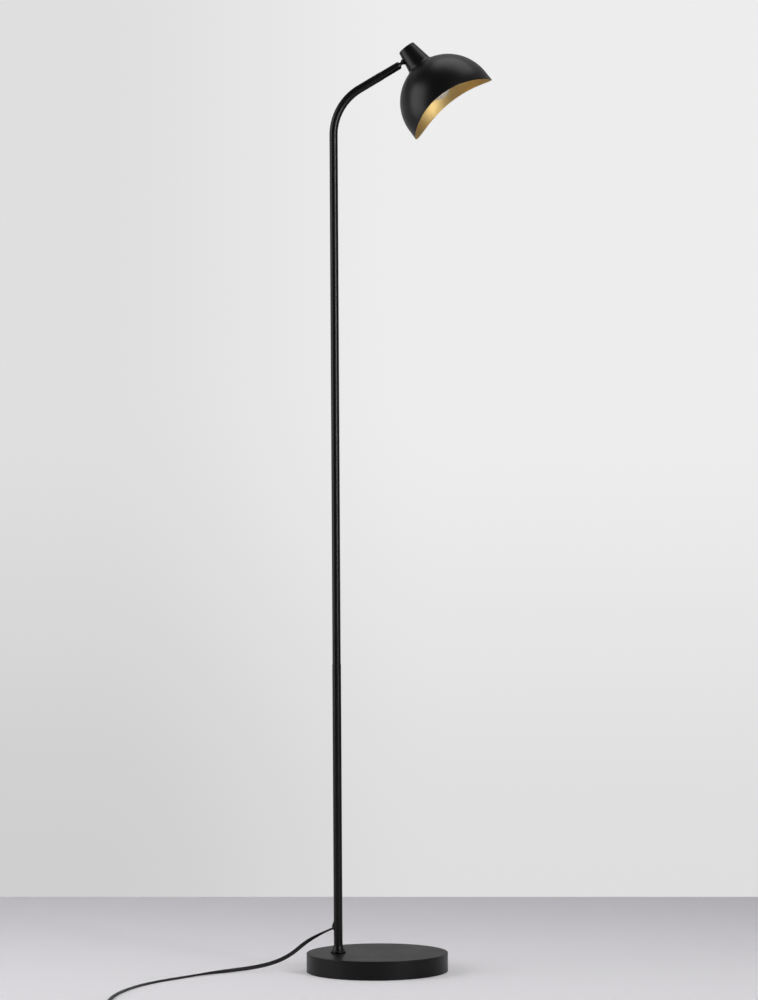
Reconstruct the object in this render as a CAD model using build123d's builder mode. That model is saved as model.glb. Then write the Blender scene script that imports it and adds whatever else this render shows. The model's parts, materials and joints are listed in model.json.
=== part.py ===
from build123d import *
from math import cos, dist, pi, radians, sin, sqrt, tan
import os

# Adjustable arm floor lamp in millimetres, +Z up, +X from the pole towards the shade
# The origin is on the floor under the middle of the base

os.makedirs("parts", exist_ok=True)

# Fits
fit_gap = 0.05
turning_gap = 0.08
cord_gap = 0.15

# Base
base_diameter = 225.0
base_height = 30.0
base_edge_radius = 1.2
skirt_gap = 0.4
skirt_edge_radius = 0.5
cover_wall = 1.2
weight_side_gap = 0.3
weight_rim = 18.0
weight_web = 8.0
pad_thickness = 2.0
pad_inset = 3.0

# Pole and arm
pole_x = -62.0
lower_pole_diameter = 14.0
upper_pole_diameter = 13.2
pole_wall = 1.0
seam_chamfer = 0.35
lower_seam_height = 489.0
upper_seam_height = 1074.0
arm_corner_height = 1380.2
arm_rise = 30.5
arm_bend_radius = 85.0
arm_straight = 41.6

# Collar at the foot of the pole
collar_diameter = 24.7
collar_height = 12.0
collar_rim_radius = 1.4
collar_top_wall = 0.4
collar_hollow = 0.35

# Foot screw joint
stud_diameter = 10.0
stud_bore_diameter = 6.4
stud_grip = 25.0
stud_tail = 2.5
stud_hole_gap = 0.2
foot_washer_diameter = 26.0
foot_washer_thickness = 1.5
lock_washer_diameter = 18.0
lock_washer_thickness = 1.2
foot_nut_flats = 17.0
foot_nut_thickness = 6.0

# Joiners inside the pole seams
joiner_grip = 20.0
joiner_bore_diameter = 7.0

# Ball joint at the end of the arm
ball_diameter = 10.84
housing_wall = 0.8
housing_length = 33.0
lip_catch = 0.52
mouth_depth = 0.9
mouth_chamfer = 2.4
mouth_edge_wall = 0.3
seat_front = 2.0
seat_back = 7.5
seat_bore_radius = 2.6
spring_washer_thickness = 0.9
spring_washer_rise = 0.95
spring_washer_side_gap = 0.22
spring_washer_inner_radius = 2.8
nipple_thread_radius = 4.0
nipple_grip = 16.0
nipple_bore_radius = 2.6

# Head pose as photographed, in degrees
head_pitch = 37.0
head_roll = -2.65
shade_turn = -7.8

# Ball stem, its level above the top of the dome
stem_level = 17.9
neck_radius = 2.8
neck_length = 7.0
shoulder_radius = 4.6
shoulder_depth = 2.0
shoulder_land = 1.45
spigot_radius = 3.5
spigot_clear_of_axis = 8.5
wire_bore_radius = 1.7
ball_back_flat = 4.2

# Shade
dome_radius = 76.3
skirt_height = 15.3
rim_flare = 0.4
shade_wall = 1.0
saddle_rise = 21.7
shade_hole_gap = 0.3

# Cup over the lampholder
cup_room = 7.1
cup_taper = 10.0
cup_height = 36.2
cup_wall = 1.0
cup_edge_radius = 1.8
cup_crown = 1.0
flare_spread = 3.2
flare_height = 4.0
flare_lip = 0.25

# Lampholder and its fixings, with levels above the top of the dome along the shade's axis
holder_front_wall = 6.6
holder_mouth_level = -14.5
holder_front_top_level = 3.5
holder_rear_wall = 1.4
holder_rear_bottom_level = 7.0
holder_back_level = 14.5
holder_floor_level = 11.5
sleeve_wall = 0.6
sleeve_top_level = 6.5
ring_width = 6.5
ring_depth = 6.0
ring_chamfer = 1.0
bracket_thickness = 1.2
bracket_width = 9.6
bracket_pad_radius = 8.5
bracket_side_gap = 0.55
bracket_foot_level = 12.3
bracket_top_level = 25.0
holder_nipple_radius = 4.9
holder_nipple_bore = 3.0
nipple_nut_flats = 14.0
nipple_nut_thickness = 3.0
stem_nut_flats = 11.0
stem_nut_thickness = 3.0
stem_washer_radius = 5.6
lead_radius = 0.75
lead_spacing = 1.6
lead_drop = 6.6
lead_bend = 2.2

# Bulb, with levels above the top of the dome
bulb_diameter = 45.0
bulb_tip_level = -67.3
bulb_glass_wall = 0.8
bulb_shoulder_angle = 125.0
bulb_neck_fillet = 5.0
bulb_neck_seal = 5.0
cap_radius = 6.9
cap_wall = 0.55
cap_bottom_level = -13.0
cap_top_level = 5.0
insulator_top_level = 8.7
insulator_depth = 2.0
insulator_land = 1.0
contact_radius = 2.3
contact_top_level = 10.5
contact_edge_radius = 0.4
mount_rod_radius = 1.1
mount_tip_level = -53.6
filament_count = 4
filament_radius = 0.8
filament_circle = 5.0
filament_bottom_level = -51.6
filament_top_level = -23.6
filament_wire_radius = 0.35

# Supply cord, a flat twin flex drawn as a round tube of the same section area
cord_width = 6.4
cord_thickness = 3.2
cord_exit_height = 69.2
cord_exit_drop = 22.0
exit_hole_radius = 4.0
grommet_width = 8.0
grommet_neck_radius = 3.3
grommet_proud = 1.6
grommet_facet = 7.8
grommet_top_height = 80.3
flex_start_depth = 1.6
flex_bend_radius = 8.0
cord_lift = 4.0
cord_lead = 18.0

# In-line foot switch
switch_left_x = -262.0
switch_y = -500.0
switch_length = 72.0
switch_width = 30.0
switch_base_height = 9.0
switch_cover_height = 9.0
switch_cover_taper = 14.0
switch_edge_radius = 1.5
switch_port_depth = 5.0
button_radius = 9.5
button_gap = 0.4
button_top_height = 21.5
button_dome = 1.6
button_edge_radius = 0.6
button_flange_radius = 11.2
button_flange_bottom = 12.9
button_flange_top = 15.2
button_recess_radius = 6.5
button_recess_top = 17.0
button_well_radius = 11.7
button_well_top = 15.5
button_spring_radius = 5.0
button_spring_wire = 0.5
button_spring_turns = 4
switch_screw_offset = 26.0
switch_screw_radius = 1.4
switch_screw_head_radius = 2.6
switch_screw_head_bottom = 0.8
switch_screw_head_top = 2.8
switch_screw_top = 14.0

# Coil of spare cord and its tie
coil_x = -150.0
coil_outer_radius = 38.0
coil_pitch = 5.4
coil_layer_rise = 6.8
coil_half_turns = 5
coil_step = 2.0
coil_tail = 44.0
coil_tail_straight = 8.0
tie_width = 9.0
tie_strap = 0.5
tie_gap = 0.35
tie_slack = 0.2
tie_corner = 2.0

# Plug with two round pins
plug_axis_height = 7.0
plug_relief_length = 22.0
plug_relief_tip_radius = 3.6
plug_relief_root_radius = 5.0
relief_groove_count = 5
relief_groove_pitch = 3.2
relief_groove_width = 1.4
relief_groove_radius = 3.1
plug_body_length = 28.0
plug_waist = 14.0
plug_width = 35.3
plug_thickness = 13.7
plug_rear_width = 13.0
plug_rear_thickness = 10.5
plug_corner = 3.5
plug_front_edge = 1.2
plug_port_depth = 6.0
pin_radius = 2.0
pin_length = 19.0
pin_spacing = 18.6
pin_tip_radius = 0.9

# Values worked out from the sizes above
base_radius = base_diameter / 2
weight_top = base_height - cover_wall
weight_radius = base_radius - cover_wall - weight_side_gap
lower_radius = lower_pole_diameter / 2
upper_radius = upper_pole_diameter / 2
lower_bore = lower_radius - pole_wall
upper_bore = upper_radius - pole_wall
stud_radius = stud_diameter / 2
cord_area = cord_thickness * (cord_width - cord_thickness) + pi * cord_thickness**2 / 4
cord_radius = sqrt(cord_area / pi)

# Ball joint
ball_radius = ball_diameter / 2
socket_radius = ball_radius + turning_gap
housing_radius = socket_radius + housing_wall
lip_radius = ball_radius - lip_catch
lip_height = sqrt(socket_radius**2 - lip_radius**2)
housing_mouth = lip_height + mouth_depth
housing_back = housing_length - housing_mouth
spring_washer_outer_radius = ball_radius - spring_washer_side_gap

# Radii of the head
rim_radius = dome_radius + rim_flare
holder_radius = cap_radius + holder_front_wall
holder_rear_radius = cap_radius + holder_rear_wall
cup_base_radius = holder_radius + cup_room
flare_radius = cup_base_radius + flare_spread
ring_radius = holder_radius + ring_width
bulb_neck_radius = cap_radius - cap_wall - fit_gap


def dome_level(radius, sphere_radius):
    """Level of a sphere about the dome's centre at a distance from the shade's axis."""
    return sqrt(sphere_radius**2 - radius**2) - dome_radius


def cup_radius(level):
    """Outer radius of the cup's cone at a level."""
    return cup_base_radius - (level - cup_bottom) * tan(radians(cup_taper))


cup_bottom = dome_level(cup_base_radius, dome_radius)
cup_top = cup_bottom + cup_height
shoulder_start = neck_length + shoulder_depth
stem_reach = shoulder_start + shoulder_land + cup_radius(stem_level - shoulder_radius)

# Places along the arm
depth = Vector(0, 1, 0)
arm_dir = Vector(cos(radians(arm_rise)), 0, sin(radians(arm_rise)))
arm_corner = Vector(pole_x, 0, arm_corner_height)
arm_bend_reach = arm_bend_radius * tan(radians((90 - arm_rise) / 2))
arm_end = arm_corner + arm_dir * (arm_bend_reach + arm_straight)
ball_centre = arm_end + arm_dir * housing_back
arm_axis = Axis(ball_centre, arm_dir)
arm_section = Plane(origin=ball_centre, x_dir=arm_dir, z_dir=-depth)
pole_section = Plane(origin=(pole_x, 0, 0), x_dir=(1, 0, 0), z_dir=-depth)
pole_axis = Axis((pole_x, 0, 0), (0, 0, 1))

# Frame of the head: origin at the top of the dome, x along the stem, z up the shade's axis
stem_dir = Vector(cos(radians(head_pitch)), 0, sin(radians(head_pitch)))
plain_up = Vector(-sin(radians(head_pitch)), 0, cos(radians(head_pitch)))
head_up = plain_up * cos(radians(head_roll)) - depth * sin(radians(head_roll))
dome_top = ball_centre + stem_dir * stem_reach - head_up * stem_level
head_plane = Plane(origin=dome_top, x_dir=stem_dir, z_dir=head_up)
head_depth = head_plane.y_dir
head_section = Plane(origin=dome_top, x_dir=stem_dir, z_dir=-head_depth)
head_axis = Axis(dome_top, head_up)
stem_axis = Axis(ball_centre, stem_dir)
stem_section = Plane(origin=ball_centre, x_dir=stem_dir, z_dir=-head_depth)
stem_plane = Plane(origin=ball_centre, x_dir=head_depth, z_dir=stem_dir)


def corner_radii(points):
    """Radius of each corner's arc: as large as the shorter of its two runs allows."""
    corners = [Vector(*point) for point in points]
    radii = []
    for before, corner, after in zip(corners, corners[1:], corners[2:]):
        run_in = corner - before
        run_out = after - corner
        half_turn = radians(run_in.get_angle(run_out) / 2)
        radii.append(0.45 * min(run_in.length, run_out.length) / tan(half_turn))
    return radii


# Base cover, a pressed shell open underneath
with BuildPart() as base_cover:
    with BuildSketch(Plane.XY.offset(skirt_gap)):
        Circle(base_radius)
    extrude(amount=base_height - skirt_gap)
    fillet(base_cover.edges().group_by(Axis.Z)[-1], base_edge_radius)
    fillet(base_cover.edges().group_by(Axis.Z)[0], skirt_edge_radius)
    with BuildSketch(Plane.XY.offset(skirt_gap)):
        Circle(base_radius - cover_wall)
    extrude(amount=weight_top - skirt_gap, mode=Mode.SUBTRACT)
    with Locations((pole_x, 0, base_height)):
        Hole(stud_radius + stud_hole_gap)
base_cover.part.label = "base_cover"
export_step(base_cover.part, "parts/base_cover.step")

# Dished iron weight under the cover
with BuildPart() as base_weight:
    with BuildSketch(Plane.XY.offset(pad_thickness)):
        Circle(weight_radius)
    extrude(amount=weight_top - pad_thickness)
    with BuildSketch(Plane.XY.offset(pad_thickness)):
        Circle(weight_radius - weight_rim)
    extrude(amount=weight_top - weight_web - pad_thickness, mode=Mode.SUBTRACT)
    with Locations((pole_x, 0, weight_top)):
        Hole(stud_radius + stud_hole_gap)
base_weight.part.label = "base_weight"
export_step(base_weight.part, "parts/base_weight.step")

# Foam pad that the lamp stands on
with BuildPart() as base_pad:
    with BuildSketch(Plane.XY):
        Circle(base_radius - pad_inset)
    extrude(amount=pad_thickness)
base_pad.part.label = "base_pad"
export_step(base_pad.part, "parts/base_pad.step")

# Bell collar round the foot of the pole
collar_bore = lower_radius + cord_gap
collar_radius = collar_diameter / 2
collar_shoulder = collar_radius - collar_rim_radius
collar_top_radius = collar_bore + collar_top_wall
with BuildPart() as base_collar:
    with BuildSketch(pole_section):
        with BuildLine():
            Line((collar_bore, base_height), (collar_shoulder, base_height))
            rim_top = (collar_shoulder, base_height + 2 * collar_rim_radius)
            rim_side = (collar_radius, base_height + collar_rim_radius)
            ThreePointArc((collar_shoulder, base_height), rim_side, rim_top)
            top_edge = (collar_top_radius, base_height + collar_height)
            bell_middle = (Vector(*rim_top) + Vector(*top_edge)) * 0.5
            ThreePointArc(rim_top, bell_middle - Vector(collar_hollow, collar_hollow), top_edge)
            Polyline(
                top_edge,
                (collar_bore, base_height + collar_height),
                (collar_bore, base_height),
            )
        make_face()
    revolve(axis=pole_axis)
base_collar.part.label = "base_collar"
export_step(base_collar.part, "parts/base_collar.step")

# Hollow stud that pulls the pole down on the base, with its washers and nut
stud_washer_top = weight_top - weight_web
lock_washer_top = stud_washer_top - foot_washer_thickness
foot_nut_top = lock_washer_top - lock_washer_thickness
stud_bottom = foot_nut_top - foot_nut_thickness - stud_tail
stud_top = base_height + stud_grip

with BuildPart() as foot_stud:
    with BuildSketch(Plane((pole_x, 0, stud_bottom))):
        Circle(stud_radius)
        Circle(stud_bore_diameter / 2, mode=Mode.SUBTRACT)
    extrude(amount=stud_top - stud_bottom)
foot_stud.part.label = "foot_stud"
export_step(foot_stud.part, "parts/foot_stud.step")

with BuildPart() as foot_washer:
    with BuildSketch(Plane((pole_x, 0, lock_washer_top))):
        Circle(foot_washer_diameter / 2)
        Circle(stud_radius + stud_hole_gap, mode=Mode.SUBTRACT)
    extrude(amount=foot_washer_thickness)
foot_washer.part.label = "foot_washer"
export_step(foot_washer.part, "parts/foot_washer.step")

with BuildPart() as foot_lock_washer:
    with BuildSketch(Plane((pole_x, 0, foot_nut_top))):
        Circle(lock_washer_diameter / 2)
        Circle(stud_radius + stud_hole_gap, mode=Mode.SUBTRACT)
    extrude(amount=lock_washer_thickness)
foot_lock_washer.part.label = "foot_lock_washer"
export_step(foot_lock_washer.part, "parts/foot_lock_washer.step")

with BuildPart() as foot_nut:
    with BuildSketch(Plane((pole_x, 0, foot_nut_top - foot_nut_thickness))):
        RegularPolygon(foot_nut_flats / 2, 6, major_radius=False)
        Circle(stud_radius + fit_gap, mode=Mode.SUBTRACT)
    extrude(amount=foot_nut_thickness)
foot_nut.part.label = "foot_nut"
export_step(foot_nut.part, "parts/foot_nut.step")

# Threaded bush fixed in the foot of the pole
with BuildPart() as foot_bush:
    with BuildSketch(Plane((pole_x, 0, base_height))):
        Circle(lower_bore - fit_gap)
        Circle(stud_radius + fit_gap, mode=Mode.SUBTRACT)
    extrude(amount=stud_grip)
foot_bush.part.label = "foot_bush"
export_step(foot_bush.part, "parts/foot_bush.step")

# Lower pole with the cord's side hole
with BuildPart() as lower_pole:
    with BuildSketch(Plane((pole_x, 0, base_height))):
        Circle(lower_radius)
        Circle(lower_bore, mode=Mode.SUBTRACT)
    extrude(amount=lower_seam_height - base_height)
    lower_rims = lower_pole.edges().group_by(Axis.Z)[-1]
    chamfer(lower_rims.sort_by(SortBy.RADIUS)[-1], seam_chamfer)
    with BuildSketch(Plane((pole_x, 0, cord_exit_height), x_dir=(0, 1, 0), z_dir=(-1, 0, 0))):
        Circle(exit_hole_radius)
    extrude(amount=lower_pole_diameter, mode=Mode.SUBTRACT)
lower_pole.part.label = "lower_pole"
export_step(lower_pole.part, "parts/lower_pole.step")

# Stepped joiner inside the lower seam
with BuildPart() as lower_joiner:
    with BuildSketch(Plane((pole_x, 0, lower_seam_height - joiner_grip))):
        Circle(lower_bore - fit_gap)
    extrude(amount=joiner_grip)
    with BuildSketch(Plane((pole_x, 0, lower_seam_height))):
        Circle(upper_bore - fit_gap)
    extrude(amount=joiner_grip)
    with Locations((pole_x, 0, lower_seam_height + joiner_grip)):
        Hole(joiner_bore_diameter / 2)
lower_joiner.part.label = "lower_joiner"
export_step(lower_joiner.part, "parts/lower_joiner.step")

# Middle pole, a little slimmer than the lower one
with BuildPart() as middle_pole:
    with BuildSketch(Plane((pole_x, 0, lower_seam_height))):
        Circle(upper_radius)
        Circle(upper_bore, mode=Mode.SUBTRACT)
    extrude(amount=upper_seam_height - lower_seam_height)
    for rims in (middle_pole.edges().group_by(Axis.Z)[0], middle_pole.edges().group_by(Axis.Z)[-1]):
        chamfer(rims.sort_by(SortBy.RADIUS)[-1], seam_chamfer)
middle_pole.part.label = "middle_pole"
export_step(middle_pole.part, "parts/middle_pole.step")

# Joiner inside the upper seam
with BuildPart() as upper_joiner:
    with BuildSketch(Plane((pole_x, 0, upper_seam_height - joiner_grip))):
        Circle(upper_bore - fit_gap)
        Circle(joiner_bore_diameter / 2, mode=Mode.SUBTRACT)
    extrude(amount=2 * joiner_grip)
upper_joiner.part.label = "upper_joiner"
export_step(upper_joiner.part, "parts/upper_joiner.step")

# Bent arm
arm_start = Vector(pole_x, 0, upper_seam_height)
with BuildPart() as bent_arm:
    with BuildLine():
        FilletPolyline(arm_start, arm_corner, arm_end, radius=arm_bend_radius)
    with BuildSketch(Plane(arm_start)):
        Circle(upper_radius)
        Circle(upper_bore, mode=Mode.SUBTRACT)
    sweep()
    chamfer(bent_arm.edges().group_by(Axis.Z)[0].sort_by(SortBy.RADIUS)[-1], seam_chamfer)
bent_arm.part.label = "bent_arm"
export_step(bent_arm.part, "parts/bent_arm.step")

# Threaded bush fixed in the end of the arm, measured back from the ball's centre
with BuildPart() as arm_bush:
    with BuildSketch(arm_section):
        Polygon(
            (-housing_back, nipple_thread_radius + fit_gap),
            (-housing_back, upper_bore - fit_gap),
            (-housing_back - nipple_grip, upper_bore - fit_gap),
            (-housing_back - nipple_grip, nipple_thread_radius + fit_gap),
        )
    revolve(axis=arm_axis)
arm_bush.part.label = "arm_bush"
export_step(arm_bush.part, "parts/arm_bush.step")

# Ball housing, its lip rounded to hold the ball and opened to let the stem swing
mouth_outer_radius = lip_radius + mouth_depth / 2
socket_middle = Vector(sin(radians(15)), cos(radians(15))) * socket_radius
with BuildPart() as ball_housing:
    with BuildSketch(arm_section):
        with BuildLine():
            ThreePointArc((lip_height, lip_radius), socket_middle, (0, socket_radius))
            Polyline(
                (0, socket_radius),
                (-housing_back, socket_radius),
                (-housing_back, housing_radius),
                (housing_mouth - mouth_chamfer, housing_radius),
                (housing_mouth, mouth_outer_radius + mouth_edge_wall),
                (housing_mouth, mouth_outer_radius),
                (lip_height, lip_radius),
            )
        make_face()
    revolve(axis=arm_axis)
ball_housing.part.label = "ball_housing"
export_step(ball_housing.part, "parts/ball_housing.step")

# Stepped hollow nipple that joins the housing to the arm
spring_stack = 2 * (spring_washer_thickness + spring_washer_rise) + 2 * fit_gap
nipple_front = seat_back + spring_stack
with BuildPart() as joint_nipple:
    with BuildSketch(arm_section):
        Polygon(
            (-nipple_front, nipple_bore_radius),
            (-nipple_front, socket_radius - fit_gap),
            (-housing_back, socket_radius - fit_gap),
            (-housing_back, nipple_thread_radius),
            (-housing_back - nipple_grip, nipple_thread_radius),
            (-housing_back - nipple_grip, nipple_bore_radius),
        )
    revolve(axis=arm_axis)
joint_nipple.part.label = "joint_nipple"
export_step(joint_nipple.part, "parts/joint_nipple.step")

# Nylon seat behind the ball
seat_edge_radius = sqrt(socket_radius**2 - seat_front**2)
seat_floor = sqrt(socket_radius**2 - seat_bore_radius**2)
seat_middle = -Vector(sin(radians(40)), -cos(radians(40))) * socket_radius
with BuildPart() as ball_seat:
    with BuildSketch(arm_section):
        with BuildLine():
            ThreePointArc(
                (-seat_front, seat_edge_radius),
                seat_middle,
                (-seat_floor, seat_bore_radius),
            )
            Polyline(
                (-seat_floor, seat_bore_radius),
                (-seat_back, seat_bore_radius),
                (-seat_back, ball_radius),
                (-seat_front, ball_radius),
                (-seat_front, seat_edge_radius),
            )
        make_face()
    revolve(axis=arm_axis)
ball_seat.part.label = "ball_seat"
export_step(ball_seat.part, "parts/ball_seat.step")

# Two cone spring washers, rim to rim, that press the seat on the ball
washer_front = seat_back + fit_gap
washer_rims = washer_front + spring_washer_rise + spring_washer_thickness
with BuildPart() as spring_washers:
    with BuildSketch(arm_section):
        Polygon(
            (-washer_front, spring_washer_inner_radius),
            (-washer_front - spring_washer_rise, spring_washer_outer_radius),
            (-washer_rims, spring_washer_outer_radius),
            (-washer_front - spring_washer_thickness, spring_washer_inner_radius),
        )
        Polygon(
            (-washer_rims - fit_gap, spring_washer_outer_radius),
            (-washer_rims - spring_washer_rise, spring_washer_inner_radius),
            (-nipple_front + fit_gap, spring_washer_inner_radius),
            (-washer_rims - spring_washer_thickness, spring_washer_outer_radius),
        )
    revolve(axis=arm_axis)
spring_washers.part.label = "spring_washers"
export_step(spring_washers.part, "parts/spring_washers.step")

# Ball stem, its shoulder cut to the cone of the cup
ball_front = sqrt(ball_radius**2 - neck_radius**2)
ball_back_radius = sqrt(ball_radius**2 - ball_back_flat**2)
shoulder_middle = (neck_length + 0.7 * shoulder_depth, neck_radius + 0.3 * (shoulder_radius - neck_radius))
shoulder_inside = stem_reach - cup_radius(cup_top)
spigot_end = stem_reach - spigot_clear_of_axis
with BuildPart() as ball_stem:
    with BuildSketch(stem_section):
        with BuildLine():
            ThreePointArc((-ball_back_flat, ball_back_radius), (0, ball_radius), (ball_front, neck_radius))
            Line((ball_front, neck_radius), (neck_length, neck_radius))
            ThreePointArc((neck_length, neck_radius), shoulder_middle, (shoulder_start, shoulder_radius))
            Polyline(
                (shoulder_start, shoulder_radius),
                (shoulder_inside, shoulder_radius),
                (shoulder_inside, 0),
                (-ball_back_flat, 0),
                (-ball_back_flat, ball_back_radius),
            )
        make_face()
    revolve(axis=stem_axis)
    with BuildSketch(head_section):
        Polygon(
            (0, cup_bottom),
            (cup_radius(cup_bottom) + fit_gap, cup_bottom),
            (cup_radius(cup_top) + fit_gap, cup_top),
            (0, cup_top),
        )
    revolve(axis=head_axis, mode=Mode.SUBTRACT)
    with BuildSketch(stem_plane.offset(shoulder_start)):
        Circle(spigot_radius)
    extrude(amount=spigot_end - shoulder_start)
    with BuildSketch(stem_plane.offset(-ball_radius)):
        Circle(wire_bore_radius)
    extrude(amount=ball_radius + spigot_end, mode=Mode.SUBTRACT)
ball_stem.part.label = "ball_stem"
export_step(ball_stem.part, "parts/ball_stem.step")

# Cup, its flared foot resting on the dome
seat_sphere = dome_radius + fit_gap
cup_inner_base = cup_base_radius - cup_wall
cup_inner_top = cup_radius(cup_top) - cup_wall
flare_bottom = dome_level(flare_radius, seat_sphere)
flare_top = cup_bottom + flare_height
flare_seat_middle = (cup_inner_base + flare_radius) / 2
with BuildPart() as socket_cup:
    with BuildSketch(head_section):
        with BuildLine():
            ThreePointArc(
                (cup_inner_base, dome_level(cup_inner_base, seat_sphere)),
                (flare_seat_middle, dome_level(flare_seat_middle, seat_sphere)),
                (flare_radius, flare_bottom),
            )
            Line((flare_radius, flare_bottom), (flare_radius, flare_bottom + flare_lip))
            TangentArc(
                (cup_radius(flare_top), flare_top),
                (flare_radius, flare_bottom + flare_lip),
                tangent=(tan(radians(cup_taper)), -1),
            )
            Line((cup_radius(flare_top), flare_top), (cup_radius(cup_top), cup_top))
            ThreePointArc(
                (cup_radius(cup_top), cup_top),
                (cup_radius(cup_top) / 2, cup_top + 0.75 * cup_crown),
                (0, cup_top + cup_crown),
            )
            Polyline(
                (0, cup_top + cup_crown),
                (0, cup_top - cup_wall),
                (cup_inner_top, cup_top - cup_wall),
                (cup_inner_base, cup_bottom + cup_wall),
                (cup_inner_base, dome_level(cup_inner_base, seat_sphere)),
            )
        make_face()
    revolve(axis=head_axis)
    cup_rings = socket_cup.edges().filter_by(lambda edge: edge.is_closed)
    fillet(cup_rings.sort_by(head_axis)[-1], cup_edge_radius)
    with BuildSketch(stem_plane):
        Circle(spigot_radius + fit_gap)
    extrude(amount=stem_reach, mode=Mode.SUBTRACT)
socket_cup.part.label = "socket_cup"
export_step(socket_cup.part, "parts/socket_cup.step")

# Washer inside the cup, one face cut to the cone
bracket_share = (bracket_top_level - cup_bottom - cup_wall) / (cup_height - 2 * cup_wall)
bracket_corner = cup_inner_base + (cup_inner_top - cup_inner_base) * bracket_share - bracket_side_gap
bracket_outer_face = sqrt(bracket_corner**2 - bracket_width**2 / 4)
bracket_inner_face = bracket_outer_face - bracket_thickness
with BuildPart() as stem_washer:
    with BuildSketch(stem_plane.offset(stem_reach - cup_base_radius)):
        Circle(stem_washer_radius)
        Circle(spigot_radius + fit_gap, mode=Mode.SUBTRACT)
    extrude(amount=cup_base_radius - bracket_outer_face)
    with BuildSketch(head_section):
        Polygon(
            (0, cup_bottom + cup_wall),
            (cup_inner_base - fit_gap, cup_bottom + cup_wall),
            (cup_inner_top - fit_gap, cup_top - cup_wall),
            (0, cup_top - cup_wall),
        )
    revolve(axis=head_axis, mode=Mode.INTERSECT)
stem_washer.part.label = "stem_washer"
export_step(stem_washer.part, "parts/stem_washer.step")

# Angle bracket that hangs the lampholder from the stem
with BuildPart() as holder_bracket:
    with BuildSketch(head_section):
        Polygon(
            (-bracket_outer_face, bracket_foot_level),
            (-bracket_inner_face, bracket_foot_level),
            (-bracket_inner_face, bracket_top_level - bracket_thickness),
            (0, bracket_top_level - bracket_thickness),
            (0, bracket_top_level),
            (-bracket_outer_face, bracket_top_level),
        )
    extrude(amount=bracket_width / 2, both=True)
    with BuildSketch(head_plane.offset(bracket_top_level - bracket_thickness)):
        Circle(bracket_pad_radius)
    extrude(amount=bracket_thickness)
    with BuildSketch(head_plane.offset(bracket_top_level - bracket_thickness)):
        Circle(holder_nipple_radius + fit_gap)
    extrude(amount=bracket_thickness, mode=Mode.SUBTRACT)
    with BuildSketch(stem_plane):
        Circle(spigot_radius + fit_gap)
    extrude(amount=stem_reach - bracket_inner_face, mode=Mode.SUBTRACT)
holder_bracket.part.label = "holder_bracket"
export_step(holder_bracket.part, "parts/holder_bracket.step")

# Nut on the stem inside the cup
with BuildPart() as stem_nut:
    with BuildSketch(stem_plane.offset(stem_reach - bracket_inner_face)):
        RegularPolygon(stem_nut_flats / 2, 6, major_radius=False)
        Circle(spigot_radius + fit_gap, mode=Mode.SUBTRACT)
    extrude(amount=stem_nut_thickness)
stem_nut.part.label = "stem_nut"
export_step(stem_nut.part, "parts/stem_nut.step")

# Hollow nipple between bracket and lampholder, with a nut each side of the bracket
nipple_bottom = holder_floor_level + fit_gap
nipple_top = bracket_top_level + nipple_nut_thickness + fit_gap
with BuildPart() as holder_nipple:
    with BuildSketch(head_plane.offset(nipple_bottom)):
        Circle(holder_nipple_radius)
        Circle(holder_nipple_bore, mode=Mode.SUBTRACT)
    extrude(amount=nipple_top - nipple_bottom)
holder_nipple.part.label = "holder_nipple"
export_step(holder_nipple.part, "parts/holder_nipple.step")

with BuildPart() as nipple_nuts:
    for nut_bottom in (bracket_top_level - bracket_thickness - nipple_nut_thickness, bracket_top_level):
        with BuildSketch(head_plane.offset(nut_bottom)):
            RegularPolygon(nipple_nut_flats / 2, 6, major_radius=False, rotation=30)
            Circle(holder_nipple_radius + fit_gap, mode=Mode.SUBTRACT)
        extrude(amount=nipple_nut_thickness)
nipple_nuts.part.label = "nipple_nuts"
export_step(nipple_nuts.part, "parts/nipple_nuts.step")

# Lampholder body
sleeve_outer_radius = cap_radius + turning_gap + sleeve_wall
holder_bore = sleeve_outer_radius + fit_gap
with BuildPart() as holder_body:
    with BuildSketch(head_section):
        Polygon(
            (holder_bore, holder_mouth_level),
            (holder_radius, holder_mouth_level),
            (holder_radius, holder_front_top_level),
            (holder_rear_radius, holder_rear_bottom_level),
            (holder_rear_radius, holder_back_level),
            (holder_nipple_radius + fit_gap, holder_back_level),
            (holder_nipple_radius + fit_gap, holder_floor_level),
            (cap_radius, holder_floor_level),
            (cap_radius, sleeve_top_level),
            (holder_bore, sleeve_top_level),
        )
    revolve(axis=head_axis)
holder_body.part.label = "holder_body"
export_step(holder_body.part, "parts/holder_body.step")

# Brass screw sleeve in the lampholder
with BuildPart() as holder_sleeve:
    with BuildSketch(head_plane.offset(cap_bottom_level)):
        Circle(sleeve_outer_radius)
        Circle(cap_radius + turning_gap, mode=Mode.SUBTRACT)
    extrude(amount=sleeve_top_level - cap_bottom_level)
holder_sleeve.part.label = "holder_sleeve"
export_step(holder_sleeve.part, "parts/holder_sleeve.step")

# Centre contact of the lampholder
with BuildPart() as holder_contact:
    with BuildSketch(head_plane.offset(contact_top_level + fit_gap)):
        SlotOverall(2 * cap_radius - 2 * turning_gap, 2 * contact_radius)
    extrude(amount=holder_floor_level - contact_top_level - fit_gap)
holder_contact.part.label = "holder_contact"
export_step(holder_contact.part, "parts/holder_contact.step")

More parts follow.
